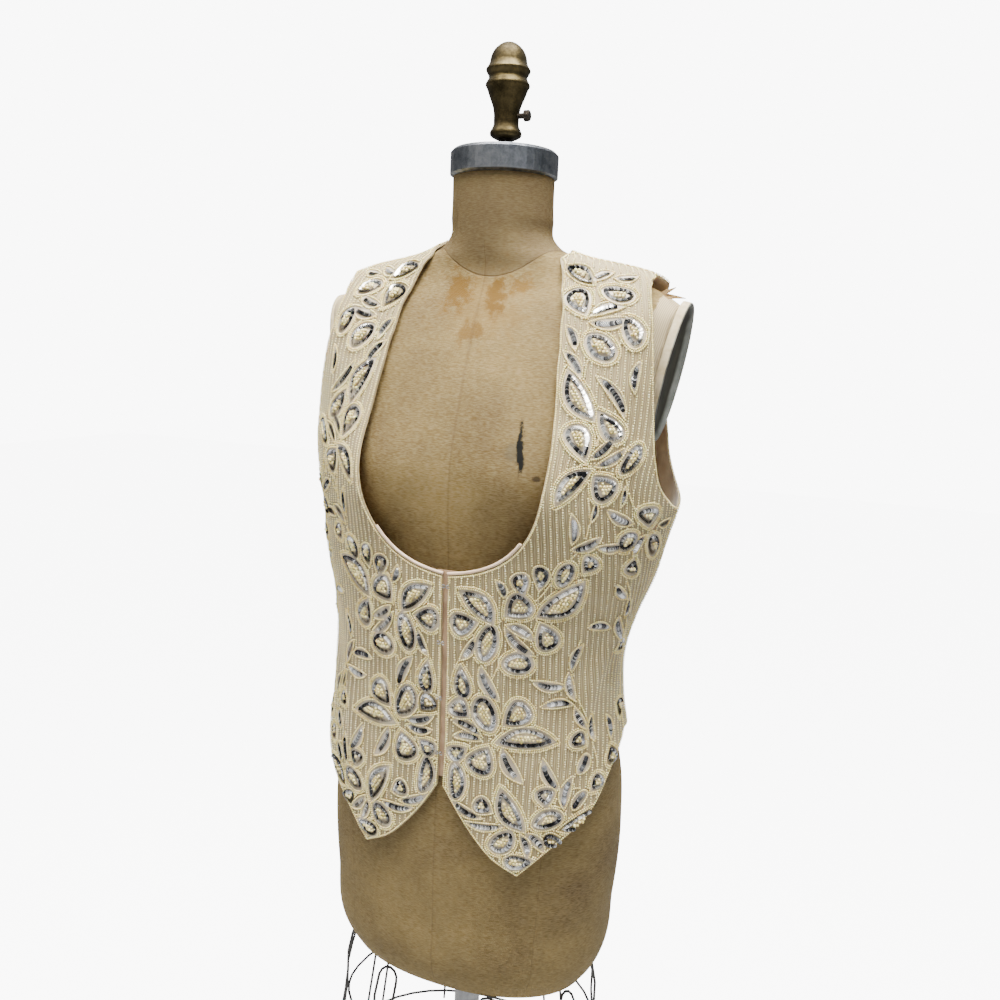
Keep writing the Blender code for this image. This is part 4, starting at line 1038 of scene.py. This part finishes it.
def scatter_tree(name, kind, material):
    """A tree that puts one small shape on each point, turned to its facing and running directions."""
    tree = bpy.data.node_groups.new(name + "_scatter", "GeometryNodeTree")
    tree.interface.new_socket(name="Geometry", in_out="INPUT", socket_type="NodeSocketGeometry")
    tree.interface.new_socket(name="Radius", in_out="INPUT", socket_type="NodeSocketFloat")
    tree.interface.new_socket(name="Geometry", in_out="OUTPUT", socket_type="NodeSocketGeometry")
    given = tree.nodes.new("NodeGroupInput")
    node_kind, fixed, radius_input, squash = BEAD_SHAPES[kind]
    shape = add(tree, node_kind, {**fixed, radius_input: given.outputs["Radius"]})
    flat = add(tree, "GeometryNodeTransform",
               {"Geometry": shape.outputs["Mesh"], "Scale": (1.0, 1.0, squash)})
    soft = add(tree, "GeometryNodeSetShadeSmooth", {"Geometry": flat, "Shade Smooth": kind != "sequin"})
    named = {}
    for label, data_type in (("facing", "FLOAT_VECTOR"), ("running", "FLOAT_VECTOR"), ("size", "FLOAT")):
        named[label] = add(tree, "GeometryNodeInputNamedAttribute", {"Name": label}, data_type=data_type)
    turned = add(tree, "FunctionNodeAxesToRotation",
                 {"Primary Axis": named["facing"], "Secondary Axis": named["running"]},
                 primary_axis="Z", secondary_axis="X")
    placed = add(tree, "GeometryNodeInstanceOnPoints", {
        "Points": given.outputs["Geometry"], "Instance": soft, "Rotation": turned, "Scale": named["size"]})
    real = add(tree, "GeometryNodeRealizeInstances", {"Geometry": placed})
    dressed = add(tree, "GeometryNodeSetMaterial", {"Geometry": real, "Material": material})
    add(tree, "NodeGroupOutput", {"Geometry": dressed})
    return tree


def realized(name, points, tree, radius):
    """The tree's result as a plain mesh object, with no modifier left."""
    modifier = points.modifiers.new("scatter", "NODES")
    modifier.node_group = tree
    for item in tree.interface.items_tree:
        if item.name == "Radius":
            modifier[item.identifier] = radius
    graph = bpy.context.evaluated_depsgraph_get()
    mesh = bpy.data.meshes.new_from_object(points.evaluated_get(graph), depsgraph=graph)
    mesh.name = name
    thing = linked(name, mesh)
    bpy.data.objects.remove(points, do_unlink=True)
    return thing


def panel_outline(flats):
    """The rim of a panel on its chart."""
    rows, columns = flats.shape[:2]
    return flats.reshape(-1, 2)[border(rows, columns)]


def lay_rows(beads, chart, outline, petals, shift, seed_pitch):
    """Straight rows of seed beads over a panel, left out where a petal is."""
    low, high = outline.min(axis=0), outline.max(axis=0)
    grown = [ring(petal["outline"], ROW_CLEAR, 0.003)[0] for petal in petals]
    for across in np.arange(ROW_FIRST, high[0], ROW_PITCH):
        ups = np.arange(low[1], high[1], 0.001)
        line = np.column_stack([np.full(len(ups), across), ups])
        line = line[inside(line, outline)]
        if len(line) < 6:
            continue
        turn, rise = chart.curved(line[:, 0], line[:, 1])
        real = section_point(CLOTH_SECTIONS, CLOTH_CENTRE, turn, rise)
        length = run_length(real)
        where = np.arange(RANDOM.uniform(0.0, seed_pitch), length[-1], seed_pitch)
        where = where + RANDOM.normal(0.0, JITTER_ALONG, len(where))
        spots = np.column_stack([np.full(len(where), across), np.interp(where, length, line[:, 1])])
        sway = ROW_SWAY * np.sin(where * 38.0 + across * 900.0)
        spots[:, 0] += RANDOM.normal(0.0, JITTER_ACROSS, len(spots)) + sway
        keep = inside(spots, outline) & (distance(spots, outline) > EDGE_INSET + SEED_RADIUS)
        for petal in grown:
            near = np.abs(spots[:, 0] - petal[:, 0].mean()) < np.ptp(petal[:, 0])
            if near.any():
                keep[near] &= ~inside(spots[near], petal)
        spots = spots[keep]
        along = np.tile([0.0, 1.0], (len(spots), 1))
        beads.lay(chart, spots, along, CLOTH_THICK + SEED_RADIUS * 0.80, shift,
                  RANDOM.uniform(0.3, 1.0, len(spots)), RANDOM.uniform(0.90, 1.06, len(spots)))


def inset(spots, along, centre):
    """Spots on a panel's rim moved in from it, whichever way round the rim runs."""
    aside = beside(along)
    turning = np.sign(np.sum(aside * (centre - spots), axis=1).mean())
    return spots + aside * turning * EDGE_INSET


def lay_edges(beads, chart, outline, shift):
    """A row of beads along a panel's rim."""
    fine, along = resample(outline, 0.001, True)
    moved = inset(fine, along, outline.mean(axis=0))
    moved = moved[inside(moved, outline) & (distance(moved, outline) > EDGE_INSET * 0.8)]
    spots, along = resample(moved, SEED_PITCH, True)
    beads.lay(chart, spots, along, CLOTH_THICK - EDGE_THIN * 0.4 + LINE_RADIUS * 0.6, shift,
              RANDOM.uniform(0.1, 0.9, len(spots)), RANDOM.uniform(0.92, 1.06, len(spots)))


class Spacing:
    """Keeps beads of crossing lines from lying on each other."""

    def __init__(self, reach):
        self.reach = reach
        self.cells = {}

    def free(self, spots):
        """Which spots have nothing near them; those are taken from now on."""
        keep = np.zeros(len(spots), bool)
        for number, (x, y) in enumerate(spots):
            column, row = int(x // self.reach), int(y // self.reach)
            near = [other for i in (-1, 0, 1) for j in (-1, 0, 1)
                    for other in self.cells.get((column + i, row + j), ())]
            if all((x - a) ** 2 + (y - b) ** 2 > self.reach ** 2 for a, b in near):
                self.cells.setdefault((column, row), []).append((x, y))
                keep[number] = True
        return keep


def lay_outlines(beads, chart, outline, petals, shift):
    """Beaded lines round the petals and along the stems."""
    spacing = Spacing(SEED_PITCH * 0.86)
    lines = [ring(petal["outline"], 0.0, SEED_PITCH) for petal in petals]
    for petal in petals:
        if petal["filling"] == "pearls":
            lines.append(ring(petal["outline"], SEED_PITCH * 0.95, SEED_PITCH))
    for stem in STEMS:
        bends = np.array(stem, float) / 1000.0
        knots = np.arange(len(bends))
        where = np.linspace(0.0, len(bends) - 1.0, 30)
        curve = np.stack([smooth_curve(knots, bends[:, k], where) for k in (0, 1)], axis=1)
        lines.append(resample(curve, SEED_PITCH, False))
    for spots, along in lines:
        keep = inside(spots, outline) & (distance(spots, outline) > EDGE_INSET + SEED_RADIUS * 1.6)
        for petal in petals:
            near = np.linalg.norm(spots - petal["place"], axis=1) < petal["length"]
            if near.any():
                within = inside(spots[near], petal["outline"])
                keep[near] &= ~(within & (distance(spots[near], petal["outline"]) > SEED_RADIUS))
        spots, along = spots[keep], along[keep]
        fresh = spacing.free(spots)
        spots, along = spots[fresh], along[fresh]
        beads.lay(chart, spots, along, CLOTH_THICK + LINE_RADIUS * 0.85, shift,
                  RANDOM.uniform(0.0, 1.0, len(spots)), RANDOM.uniform(0.94, 1.08, len(spots)))


def petal_grounds(name, chart, outline, petals, shift, material):
    """Plain satin under the sequins of each petal, as one mesh of small rounded patches."""
    verts, faces = [], []
    for petal in petals:
        edge = petal["outline"]
        middle = edge.mean(axis=0)
        rings = [middle + (edge - middle) * share for share in PETAL_RINGS]
        flat = np.concatenate(rings)
        turn, rise = chart.curved(flat[:, 0], flat[:, 1])
        count = len(edge)
        lift = np.repeat(np.array(PETAL_RINGS) < 1.0, count) * GROUND_LIFT + CLOTH_THICK + GROUND_CLEAR
        points = cloth_point(turn, rise, lift)
        points[:, 1] += shift
        stack = ring_stack(len(rings), count, len(verts))
        faces.extend(face if chart.way > 0 else face[::-1] for face in stack[:-2] + stack[-1:])
        verts.extend(points)
    return mesh_object(name, verts, faces, [material])


def lay_sequins(sequins, pearls, chart, outline, petals, shift):
    """Overlapping sequins round each petal and a mound of pearls in the large ones."""
    for petal in petals:
        # Each petal's sequins go from bright to dark from a random start: painted reflection over their own
        # smoky colour
        painted_reflection_phase = RANDOM.uniform(0.0, 2.0 * math.pi)
        edge = petal["outline"]
        if petal["filling"] == "sequins" and petal["width"] < SLIM_WIDTH:
            middle = petal["middle"]
            middle = middle[distance(middle, edge) > petal["width"] * SLIM_SHARE * 0.75]
            spots, along = resample(middle, SEQUIN_PITCH * 1.1, False)
            room = np.clip((distance(spots, edge) - LINE_RADIUS * 0.9) / SEQUIN_RADIUS, 0.45, 1.25)
            # Bright to dark along the slim leaf: painted reflection over the sequins' own colour
            tint_and_painted_reflection = 0.60 + 0.30 * np.sin(painted_reflection_phase + np.linspace(0.0, 2.8, len(spots)))
            tint_and_painted_reflection = np.clip(tint_and_painted_reflection + RANDOM.normal(0.0, 0.25, len(spots)), 0.0, 1.0)
            keep = inside(spots, outline)
            sequins.lay(chart, spots[keep], along[keep], CLOTH_THICK + SLIM_LIFT, shift, tint_and_painted_reflection[keep],
                        room[keep], SLIM_TILT)
            continue
        spots, along = ring(edge, -min(SEQUIN_INSET, SEQUIN_SHARE * petal["width"]), SEQUIN_PITCH)
        if len(spots) == 0:
            continue
        away = spots - edge.mean(axis=0)
        angle = np.arctan2(away[:, 1], away[:, 0])
        # Bright to dark round the ring: painted reflection over the sequins' own colour
        tint_and_painted_reflection = 0.60 + 0.32 * np.cos(angle - painted_reflection_phase)
        tint_and_painted_reflection = np.clip(tint_and_painted_reflection + RANDOM.normal(0.0, 0.23, len(spots)), 0.0, 1.0)
        keep = inside(spots, outline)
        sequins.lay(chart, spots[keep], along[keep], CLOTH_THICK + SEQUIN_LIFT, shift, tint_and_painted_reflection[keep],
                    RANDOM.uniform(0.92, 1.08, keep.sum()), SEQUIN_TILT)
        low, high = edge.min(axis=0), edge.max(axis=0)
        step = PEARL_PITCH
        columns = np.arange(low[0], high[0], step)
        levels = np.arange(low[1], high[1], step * PEARL_ROW_SHARE)
        spots = np.array([(x + (step / 2.0 if row % 2 else 0.0), y)
                          for row, y in enumerate(levels) for x in columns])
        spots = spots + RANDOM.normal(0.0, PEARL_JITTER, spots.shape)
        depth = distance(spots, edge)
        inset = min(PEARL_INSET, PEARL_SHARE * petal["width"])
        keep = inside(spots, edge) & (depth > inset) & inside(spots, outline)
        if not keep.any():
            middle = edge.mean(axis=0)[None]
            pearls.lay(chart, middle, np.array([[0.0, 1.0]]), CLOTH_THICK + PEARL_LIFT, shift, 0.6)
            continue
        spots, depth = spots[keep], depth[keep]
        height = MOUND_HEIGHT * np.minimum(1.0, (depth - inset) / MOUND_SLOPE)
        along = np.tile([0.0, 1.0], (len(spots), 1))
        pearls.lay(chart, spots, along, CLOTH_THICK + PEARL_LIFT + height, shift,
                   RANDOM.uniform(0.1, 1.0, len(spots)), RANDOM.uniform(0.86, 1.12, len(spots)))


def arm_plane(rise, side):
    """How far out the flat side of the form is, at a rise."""
    moved = RIGHT_SHOULDER_IN if side < 0.0 else LEFT_SHOULDER_OUT
    return ARM_PLANE_LOW[1] + ARM_LEAN * (rise - ARM_PLANE_LOW[0]) + moved


def linen_torso(material):
    """The form's linen skin, closed at the neck and under the hips."""
    rises = np.concatenate([np.linspace(FORM_SECTIONS[0][0], 0.34, 110), np.linspace(0.343, 0.478, 60)])
    turns = np.linspace(-180.0, 180.0, TORSO_SIDES + 1)[:-1]
    rings = []
    for rise in rises:
        line = section_point(FORM_SECTIONS, FORM_CENTRE, turns, np.full(TORSO_SIDES, rise))
        if rise > ARM_FLAT_LOW:
            line[:, 0] = np.clip(line[:, 0], -arm_plane(rise, -1.0), arm_plane(rise, 1.0))
        rings.append(line)
    verts = np.concatenate(rings)
    step = NOMINAL_GIRTH / TORSO_SIDES
    chart = []
    for low, high in zip(rises[:-1], rises[1:]):
        for left in (np.arange(TORSO_SIDES) - TORSO_SIDES / 2.0) * step:
            chart.extend([(left, low), (left + step, low), (left + step, high), (left, high)])
    chart.extend([CAP_CHART] * (2 * TORSO_SIDES))
    thing = mesh_object("linen_torso", verts, ring_stack(len(rises), TORSO_SIDES), [material], chart=chart)
    x, y, z = verts.T
    bow = NECK_SEAM_BOW * (x - NECK_SEAM_MIDDLE) ** 2 + NECK_SEAM_RISE * np.clip(y / NECK_SEAM_BACK, 0.0, 1.0)
    above = z - WAIST - NECK_SEAM_LOW - np.minimum(bow, NECK_SEAM_RISE)
    planes = np.where(x > 0.0, arm_plane(z - WAIST, 1.0), arm_plane(z - WAIST, -1.0))
    tape = np.clip(1.0 + (np.abs(x) - planes) / TAPE_WIDTH, 0.0, 1.0) * (z - WAIST < TAPE_TOP)
    curve = np.cbrt(1.0 - np.clip(np.abs(y) / TAPE_SPREAD, 0.0, 1.0) ** 3)
    tape *= np.clip((z - WAIST - PLATE_RISE + TAPE_DROP * curve) / TAPE_FADE, 0.0, 1.0)
    for label, values in (("above_neck_seam", above), ("shoulder_tape", tape)):
        add_values(thing.data, label, "FLOAT", "value", values)
    return thing


def dish_enamel():
    """Pressed steel in old enamel: dark olive in the hollow, partly its colour and partly painted shade, pale
    grey at the rim's far side.
    """
    material, tree, shader = new_material("olive_enamel_painted_hollow_shade", 0.6, **{"Specular IOR Level": 0.25})
    place = add(tree, "ShaderNodeTexCoord").outputs["Object"]
    axes = add(tree, "ShaderNodeSeparateXYZ", {0: place})
    across = add(tree, "ShaderNodeMath", {0: axes.outputs["Y"], 1: 1.0 / (PLATE_HALF_WIDE * DARK_WIDE),
                                          2: DARK_AHEAD / DARK_WIDE}, operation="MULTIPLY_ADD")
    up = add(tree, "ShaderNodeMath", {0: axes.outputs["Z"], 1: 1.0 / (PLATE_HALF_HIGH * DARK_HIGH),
                                      2: -(WAIST + PLATE_RISE) / (PLATE_HALF_HIGH * DARK_HIGH)},
             operation="MULTIPLY_ADD")
    both = add(tree, "ShaderNodeCombineXYZ", {0: across, 1: up})
    away = add(tree, "ShaderNodeVectorMath", {0: both}, operation="LENGTH").outputs["Value"]
    cloudy = add(tree, "ShaderNodeTexNoise", {"Vector": place, "Scale": 45.0, "Detail": 6.0})
    # Edge of the dark oval, made ragged by noise: inside it the hollow's shade is painted
    worn = add(tree, "ShaderNodeMath", {0: cloudy, 1: 0.16, 2: away}, operation="MULTIPLY_ADD")
    cover = add(tree, "ShaderNodeMapRange", {0: worn, 1: 1.00, 2: 1.16})
    # Dark tones: olive enamel darkened as painted shade of the hollow; pale tones: the grey rim
    dark = add(tree, "ShaderNodeValToRGB", {0: cloudy}, stops=((0.35, "#242219"), (0.65, "#363327")))
    pale = add(tree, "ShaderNodeValToRGB", {0: cloudy}, stops=((0.35, "#6F716B"), (0.65, "#8E908A")))
    mixed = add(tree, "ShaderNodeMix", {"Factor": cover, 6: dark, 7: pale}, data_type="RGBA")
    tree.links.new(mixed.outputs[2], shader.inputs["Base Color"])
    bump(tree, shader, cloudy, 0.25, 0.0006)
    return material


def arm_dish(label, side, enamel, edge):
    """A pressed oval dish on the flat side of the form, with a cotton binding round its edge."""
    angle = np.arange(DISH_SIDES) * 2.0 * math.pi / DISH_SIDES
    rings = []
    for out, share in DISH_PROFILE:
        rise = PLATE_RISE + PLATE_HALF_HIGH * share * np.sin(angle)
        rings.append(np.column_stack([
            side * (arm_plane(rise, side) + out), PLATE_HALF_WIDE * share * np.cos(angle),
            WAIST + rise - ARM_LEAN * out]))
    faces = ring_stack(len(rings), DISH_SIDES)
    slots = np.zeros(len(faces))
    slots[:DISH_SIDES] = 1.0
    slots[-2] = 1.0
    thing = mesh_object("arm_dish_" + label, np.concatenate(rings), faces, [enamel, edge], slots)
    face_out(thing)
    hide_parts("arm_plate_" + label)
    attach(thing, "root")


def torn_scraps(material):
    """Curled slivers of torn canvas at the worn shoulder corner."""
    verts, faces = [], []
    for root, heading, length, width, curl in SCRAPS:
        ahead = unit(np.array(heading, float))
        aside = unit(np.cross(ahead, [0.0, -1.0, 0.0]))
        above = np.cross(aside, ahead)
        faces.extend(ring_stack(SCRAP_STEPS + 1, 4, len(verts)))
        for number in range(SCRAP_STEPS + 1):
            t = number / SCRAP_STEPS
            centre = np.array(root) + ahead * length * t + above * (curl * t * t)
            half = width / 2.0 * (1.0 - 0.88 * t ** 1.5)
            for left, high in ((-1.0, -1.0), (1.0, -1.0), (1.0, 1.0), (-1.0, 1.0)):
                verts.append(centre + aside * left * half + above * high * SCRAP_THICK / 2.0)
    thing = mesh_object("torn_canvas_scraps", verts, faces, [material])
    face_out(thing)
    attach(thing, "root")


def satin_roll(name, side, material):
    """A narrow satin roll along the low part of a front's neck edge, a little puckered."""
    edge = front_places(side)[BODY_ROWS - 1:, 0]
    edge[:, 0] *= side
    edge = edge[edge[:, 1] < ROLL_TOP]
    turn, rise = resample(edge, ROLL_STEP, False)[0].T
    middle = cloth_point(turn, rise, np.full(turn.shape, ROLL_RADIUS))
    along = unit(np.gradient(middle, axis=0))
    normal = cloth_frame(turn, rise)[0]
    out = np.cross(normal, along)
    out = out * np.sign(out[:, 2:3])
    line = middle + out * (ROLL_RADIUS + ROLL_CLEAR)
    line[:, 1] -= SEAM_GAP / 2.0
    verts = []
    for number, (centre, a, b) in enumerate(zip(line, out, normal)):
        radius = ROLL_RADIUS * (0.97 - 0.05 * math.sin(number * 1.9) * math.sin(number * 0.37))
        for angle in np.arange(ROLL_SIDES) * 2.0 * math.pi / ROLL_SIDES:
            verts.append(centre + radius * (math.cos(angle) * a + math.sin(angle) * b))
    thing = mesh_object(name, verts, ring_stack(len(line), ROLL_SIDES), [material])
    face_out(thing)
    return thing


def face_out(thing):
    """Turn a closed mesh's faces outward."""
    work = bmesh.new()
    work.from_mesh(thing.data)
    bmesh.ops.recalc_face_normals(work, faces=work.faces)
    work.to_mesh(thing.data)
    work.free()


def satin_underlap(material):
    """The strip behind the closure, with soft cross puckers."""
    acrosses = np.linspace(-UNDERLAP_HALF, UNDERLAP_HALF, 13) + SIDE_SHIFT
    rises = np.linspace(UNDERLAP_LOW, UNDERLAP_TOP, 90)
    places = np.array([[(float(turn_at(a, r)), r) for a in acrosses] for r in rises])
    flats = np.array([[(a, r) for a in acrosses] for r in rises])
    return cloth_wall("satin_underlap", places, flats, -SEAM_GAP / 2.0, material, material,
                      -UNDERLAP_CLEAR - UNDERLAP_THICK, -UNDERLAP_CLEAR + 0.0001)


def turned_piece(name, profile, foot, material, sides, steps):
    """A lathe-turned piece through a smooth profile of height and radius."""
    heights, radii = (np.array(column) for column in zip(*profile))
    fine = np.linspace(heights[0], heights[-1], steps)
    rows = smooth_curve(heights, radii, fine)
    angle = np.arange(sides) * 2.0 * math.pi / sides
    verts = np.concatenate([np.column_stack([
        foot[0] + radius * np.cos(angle), foot[1] + radius * np.sin(angle),
        np.full(sides, foot[2] + height)]) for height, radius in zip(fine, rows)])
    return mesh_object(name, verts, ring_stack(steps, sides), [material])


def repaint(starts, material):
    """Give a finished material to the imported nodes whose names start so."""
    for name in NODES:
        if name.startswith(starts):
            for slot in NODES[name].material_slots:
                slot.material = material


def aimed(across, up, back, place):
    """The matrix of a camera or a light that looks away from its back."""
    return Matrix([(across[i], up[i], back[i], place[i]) for i in range(3)] + [(0, 0, 0, 1)])


def add_camera():
    """The photograph's viewpoint: turned to the wearer's left, a little above, tilted."""
    ahead = np.array([-math.sin(VIEW_TURN), math.cos(VIEW_TURN), 0.0])
    across = np.array([math.cos(VIEW_TURN), math.sin(VIEW_TURN), 0.0])
    top = np.array([0.0, 0.0, 1.0])
    ahead, across = (ahead * math.cos(VIEW_YAW) + across * math.sin(VIEW_YAW),
                     across * math.cos(VIEW_YAW) - ahead * math.sin(VIEW_YAW))
    ahead, top = (ahead * math.cos(VIEW_PITCH) - top * math.sin(VIEW_PITCH),
                  top * math.cos(VIEW_PITCH) + ahead * math.sin(VIEW_PITCH))
    across, top = (across * math.cos(VIEW_ROLL) + top * math.sin(VIEW_ROLL),
                   top * math.cos(VIEW_ROLL) - across * math.sin(VIEW_ROLL))
    place = (VIEW_DISTANCE * math.sin(VIEW_TURN), -VIEW_DISTANCE * math.cos(VIEW_TURN), VIEW_HEIGHT)
    data = bpy.data.cameras.new("camera")
    data.sensor_width = 36.0
    data.lens = VIEW_LENS
    data.clip_start = 0.01
    camera = linked("camera", data)
    camera.matrix_world = aimed(across, top, -ahead, place)
    bpy.context.scene.camera = camera


def add_light(name, place, target, size, power, tone):
    """A soft area light aimed at a point."""
    data = bpy.data.lights.new(name, "AREA")
    data.shape = "RECTANGLE"
    data.size, data.size_y = size
    data.energy = power
    data.color = colour(tone)[:3]
    back = unit(np.array(place) - np.array(target))
    across = unit(np.cross([0.0, 0.0, 1.0], back))
    linked(name, data).matrix_world = aimed(across, np.cross(back, across), back, place)


def add_stage():
    """A plain pale floor, and a pale room that is darker where it isn't looked at."""
    verts = [(-FLOOR_REACH, -FLOOR_REACH, 0.0), (FLOOR_REACH, -FLOOR_REACH, 0.0),
             (FLOOR_REACH, FLOOR_REACH, 0.0), (-FLOOR_REACH, FLOOR_REACH, 0.0)]
    material, tree, shader = new_material("pale_floor_paint", 0.9)
    place = add(tree, "ShaderNodeTexCoord").outputs["Object"]
    cloudy = add(tree, "ShaderNodeTexNoise", {"Vector": place, "Scale": 2.0})
    tone = add(tree, "ShaderNodeValToRGB", {0: cloudy}, stops=((0.0, "#F1F1F0"), (1.0, "#F5F5F4")))
    tree.links.new(tone.outputs[0], shader.inputs["Base Color"])
    ray = add(tree, "ShaderNodeLightPath")
    glow = add(tree, "ShaderNodeMath", {0: ray.outputs["Is Camera Ray"], 1: FLOOR_GLOW}, operation="MULTIPLY")
    shader.inputs["Emission Color"].default_value = colour("#FFFFFF")
    tree.links.new(glow.outputs[0], shader.inputs["Emission Strength"])
    mesh_object("floor", verts, [(0, 1, 2, 3)], [material], smooth=False)
    world = bpy.data.worlds.new("studio")
    world.use_nodes = True
    bpy.context.scene.world = world
    nodes = world.node_tree
    nodes.nodes.clear()
    direction = add(nodes, "ShaderNodeTexCoord").outputs["Generated"]
    axes = add(nodes, "ShaderNodeSeparateXYZ", {0: direction})
    sky = add(nodes, "ShaderNodeMapRange", {0: axes.outputs["Z"], 1: -0.1, 2: 0.75, 3: 0.10, 4: 0.75})
    room = add(nodes, "ShaderNodeBackground", {"Color": colour("#EEF1F4"), "Strength": sky})
    seen = add(nodes, "ShaderNodeBackground", {"Color": colour("#FFFFFF"), "Strength": BACKDROP_GLOW})
    ray = add(nodes, "ShaderNodeLightPath")
    mixed = add(nodes, "ShaderNodeMixShader", {0: ray.outputs["Is Camera Ray"], 1: room, 2: seen})
    add(nodes, "ShaderNodeOutputWorld", {"Surface": mixed})


def neck_lean(rise):
    """How far the straps lean in towards the neck at a rise."""
    knots = [row[1] for row in FRONT_NECK[7:]]
    values = [row[0] - FRONT_NECK[7][0] for row in FRONT_NECK[7:]]
    return float(smooth_curve(knots, values, rise))


def no_lean(rise):
    """The back's rows run straight up."""
    return 0.0 * rise


def closure_turn(rise):
    """The turn of the closure line."""
    return float(turn_at(side_shift(rise), rise))


def back_centre(rise):
    """The turn of the back's middle."""
    return 180.0 + 0.0 * rise


def build_front(side, label, finishes):
    """One front: its shell, rows, outlines, petals, sequins and pearls."""
    chart = Chart(closure_turn, side, neck_lean)
    places = front_places(side)
    places[..., 0] *= side
    flats = np.stack(chart.flat(places[..., 0], places[..., 1]), axis=-1)
    outline = panel_outline(flats)
    shift = -SEAM_GAP / 2.0
    shell = cloth_wall("front_%s_shell" % label, places, flats, shift, finishes["ground"], finishes["lining"])
    petals = chart_petals(LEFT_SLIP if side > 0 else RIGHT_SLIP)
    petals = [petal for petal in petals if inside(petal["outline"], outline).mean() > SHOWN_SHARE]
    rows, lines, sequins, pearls = Beads(), Beads(), Beads(), Beads()
    lay_rows(rows, chart, outline, petals, shift, FRONT_SEED_PITCH)
    lay_edges(lines, chart, outline, shift)
    lay_outlines(lines, chart, outline, petals, shift)
    lay_sequins(sequins, pearls, chart, outline, petals, shift)
    whole = [petal for petal in petals if inside(petal["outline"], outline).all()]
    pieces = [
        petal_grounds("petal_satin_%s" % label, chart, outline, whole, shift, finishes["petal"]),
        rows.made("seed_rows_%s" % label, "seed_round", SEED_RADIUS, finishes["seed"]),
        lines.made("seed_lines_%s" % label, "seed_round", LINE_RADIUS, finishes["line_seed"]),
        sequins.made("sequins_%s" % label, "sequin", SEQUIN_RADIUS, finishes["sequin"]),
        pearls.made("pearls_%s" % label, "pearl", PEARL_RADIUS, finishes["pearl"]),
    ]
    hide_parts("front_%s" % label)
    return shell, pieces


def build_back(finishes):
    """The plain back: its shell, rows and edges."""
    places = back_places()
    left_chart = Chart(back_centre, -1.0, no_lean)
    right_chart = Chart(back_centre, 1.0, no_lean)
    on_left = places[..., 0] <= 180.0
    left = np.stack(left_chart.flat(places[..., 0], places[..., 1]), axis=-1)
    right = np.stack(right_chart.flat(places[..., 0], places[..., 1]), axis=-1)
    flats = np.where(on_left[..., None], left * [-1.0, 1.0], right)
    shift = SEAM_GAP / 2.0
    shell = cloth_wall("back_shell", places, flats, shift, finishes["ground"], finishes["lining"])
    rows, edges = Beads(), Beads()
    rim = panel_outline(flats)
    for chart, way in ((left_chart, -1.0), (right_chart, 1.0)):
        whole = rim * [way, 1.0]
        half = np.column_stack([np.maximum(whole[:, 0], -BACK_OVERLAP), whole[:, 1]])
        lay_rows(rows, chart, half, [], shift, BACK_SEED_PITCH)
        spots, along = resample(whole, SEED_PITCH, True)
        spots = inset(spots, along, whole.mean(axis=0))
        keep = (spots[:, 0] > 0.0) & inside(spots, whole)
        edges.lay(chart, spots[keep], along[keep], CLOTH_THICK - EDGE_THIN * 0.4 + SEED_RADIUS * 0.4, shift,
                  RANDOM.uniform(0.1, 0.9, keep.sum()))
    pieces = [rows.made("seed_rows_back", "seed", SEED_RADIUS, finishes["seed"]),
              edges.made("seed_edges_back", "seed", SEED_RADIUS, finishes["line_seed"])]
    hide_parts("back")
    return shell, pieces


def main():
    """Dress the frame."""
    add_camera()
    finishes = {
        "ground": couched_ground(),
        "lining": satin("tan_silk_lining", "#DCBE90", "#C4A274", 0.34),
        "petal": satin("petal_satin", "#D8CBB4", "#AC9D85", 0.28),
        "pink": satin("pink_silk_satin", "#E6CBB0", "#CDAC90", 0.34),
        # The underlap: the roll's pink silk, painted darker for the shade behind the closure
        "painted_shade_pink": satin("painted_shade_pink_silk_satin", "#C2A07C", "#96785A", 0.40),
        "seed": glass_bead("cream_seed_glass", "#FFF6C6", "#E6D08A", 0.2),
        "line_seed": glass_bead("yellow_cream_seed_glass", "#FFF1B2", "#E3CE86", 0.2),
        "pearl": glass_bead("cream_pearl", "#FFF0B0", "#BBA75C", 0.14),
        "sequin": sequin_metal(),
    }
    torso = linen_torso(varnished_linen())
    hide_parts("form_torso")
    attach(torso, "root")
    for side, label in ((1.0, "left"), (-1.0, "right")):
        shell, pieces = build_front(side, label, finishes)
        roll = satin_roll("satin_roll_%s" % label, side, finishes["pink"])
        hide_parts("neck_roll_%s" % label)
        for piece in pieces + [roll, shell]:
            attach(piece, "root")
    shell, pieces = build_back(finishes)
    for piece in pieces + [shell]:
        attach(piece, "root")
    # Painted shade: the underlap gets the darker copy of the pink satin
    underlap = satin_underlap(finishes["painted_shade_pink"])
    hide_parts("underlap")
    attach(underlap, "root")
    brass = metal("antique_brass", "#51472F", "#2A2416", 0.44, (60.0, 60.0, 900.0), 55.0)
    low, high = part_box("finial")
    foot = ((low[0] + high[0]) / 2.0, (low[1] + high[1]) / 2.0, low[2])
    finial = turned_piece("turned_finial", FINIAL_PROFILE, foot, brass, 64, 90)
    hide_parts("finial")
    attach(finial, "root")
    canvas = metal("torn_canvas", "#B79C70", "#8F7650", 0.85, (900.0,) * 3, 90.0, 0.0)
    enamel = dish_enamel()
    binding = metal("cotton_binding", "#CFC1A0", "#B3A27E", 0.85, (900.0,) * 3, 90.0, 0.0)
    arm_dish("left", 1.0, enamel, binding)
    arm_dish("right", -1.0, enamel, binding)
    torn_scraps(canvas)
    for starts, *finish in REPAINTED:
        repaint(starts, metal(*finish))
    for light in LIGHTS:
        add_light(*light)
    add_stage()


main()
